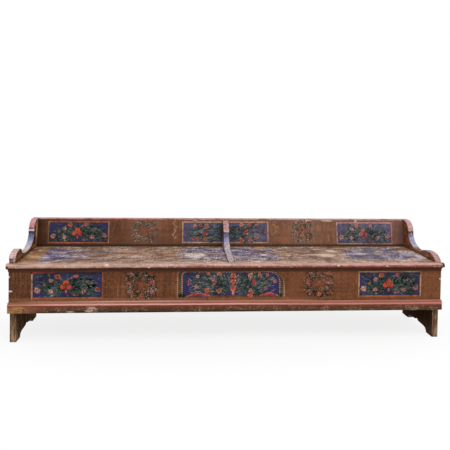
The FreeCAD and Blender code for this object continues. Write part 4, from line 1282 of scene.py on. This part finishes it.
def add_floor():
    """A pale floor that keeps the shadow near the bench and fades to white further out."""
    mesh = bpy.data.meshes.new("floor")
    half = FLOOR_HALF
    corners = [(-half, -half, 0), (half, -half, 0), (half, half, 0), (-half, half, 0)]
    mesh.from_pydata(corners, [], [(0, 1, 2, 3)])
    floor = add_object("floor", mesh)
    floor.location.z = -FLOOR_DROP
    s = Shader("floor_paper")
    s.set(Base_Color=FLOOR_GREY, Roughness=0.9)
    glow = s.add("Emission", {"Color": PURE_WHITE, "Strength": 1.0}).outputs["Emission"]
    path = s.add("LightPath").outputs
    seen = s.most(s.most(path["Is Camera Ray"], path["Is Glossy Ray"]), path["Is Transmission Ray"])
    side, depth = (s.math("DIVIDE", place, size) for place, size in zip((s.x, s.y), SHADOW_SIZE))
    away = s.math("SQRT", s.plus(s.times(side, side), s.times(depth, depth)))
    fade = s.plus(FLOOR_GLOW, s.times(s.rise(away, *SHADOW_FADE), 1.0 - FLOOR_GLOW))
    blend = s.add("MixShader", {"Fac": s.times(fade, seen), 1: s.surface.outputs["BSDF"], 2: glow})
    s.feed(s.output.inputs["Surface"], blend.outputs["Shader"])
    mesh.materials.append(s.material)


bpy.context.scene.view_settings.view_transform = "Standard"
add_camera()
add_world()
for lamp in LAMPS:
    add_light(*lamp)
add_floor()

# Finish of the CAD nodes

HANDS = ("left", "right")


def lid_nodes(*parts):
    return [hand + "_lid_" + part for hand in HANDS for part in parts]


place_material(front_material(), ["front_board", "front_board_pegs"])
place_material(backrest_material(), ["backrest_board"])
left_arm = arm_board("left_arm_paint", LEFT_ARM, PALE_PINK, 0.17, 0.028, BROWN)
right_arm = arm_board("right_arm_paint", RIGHT_ARM, DUSTY_PINK, 0.12, 0.0, BROWN_LIGHT)
middle_arm = arm_board("middle_arm_paint", MIDDLE_ARM, PINK, 0.05, 0.0, BROWN)
place_material(left_arm, ["left_end_board"])
place_material(right_arm, ["right_end_board"])
place_material(middle_arm, ["partition_with_middle_arm", "partition_pegs"])
place_material(seat_material(), lid_nodes("front_plank", "rear_plank"))
place_material(nosing_material(), lid_nodes("nosing", "nosing_nails"))
place_material(cornice_material(), ["cornice_moulding"])
place_material(plinth_material(), ["plinth_rail"])
bare = plain_wood("bare_pine", ALONG_X)
place_material(bare, ["chest_back_board", "floor_plank_front", "floor_plank_rear", "back_board_pegs"])
place_material(plain_wood("bare_batten", ALONG_Y), lid_nodes("batten_1", "batten_2", "batten_3"))
place_material(iron_material(), ["plinth_nails", "middle_pivot_pin", "left_pivot_pin", "right_pivot_pin"])

paint_front()
paint_back()
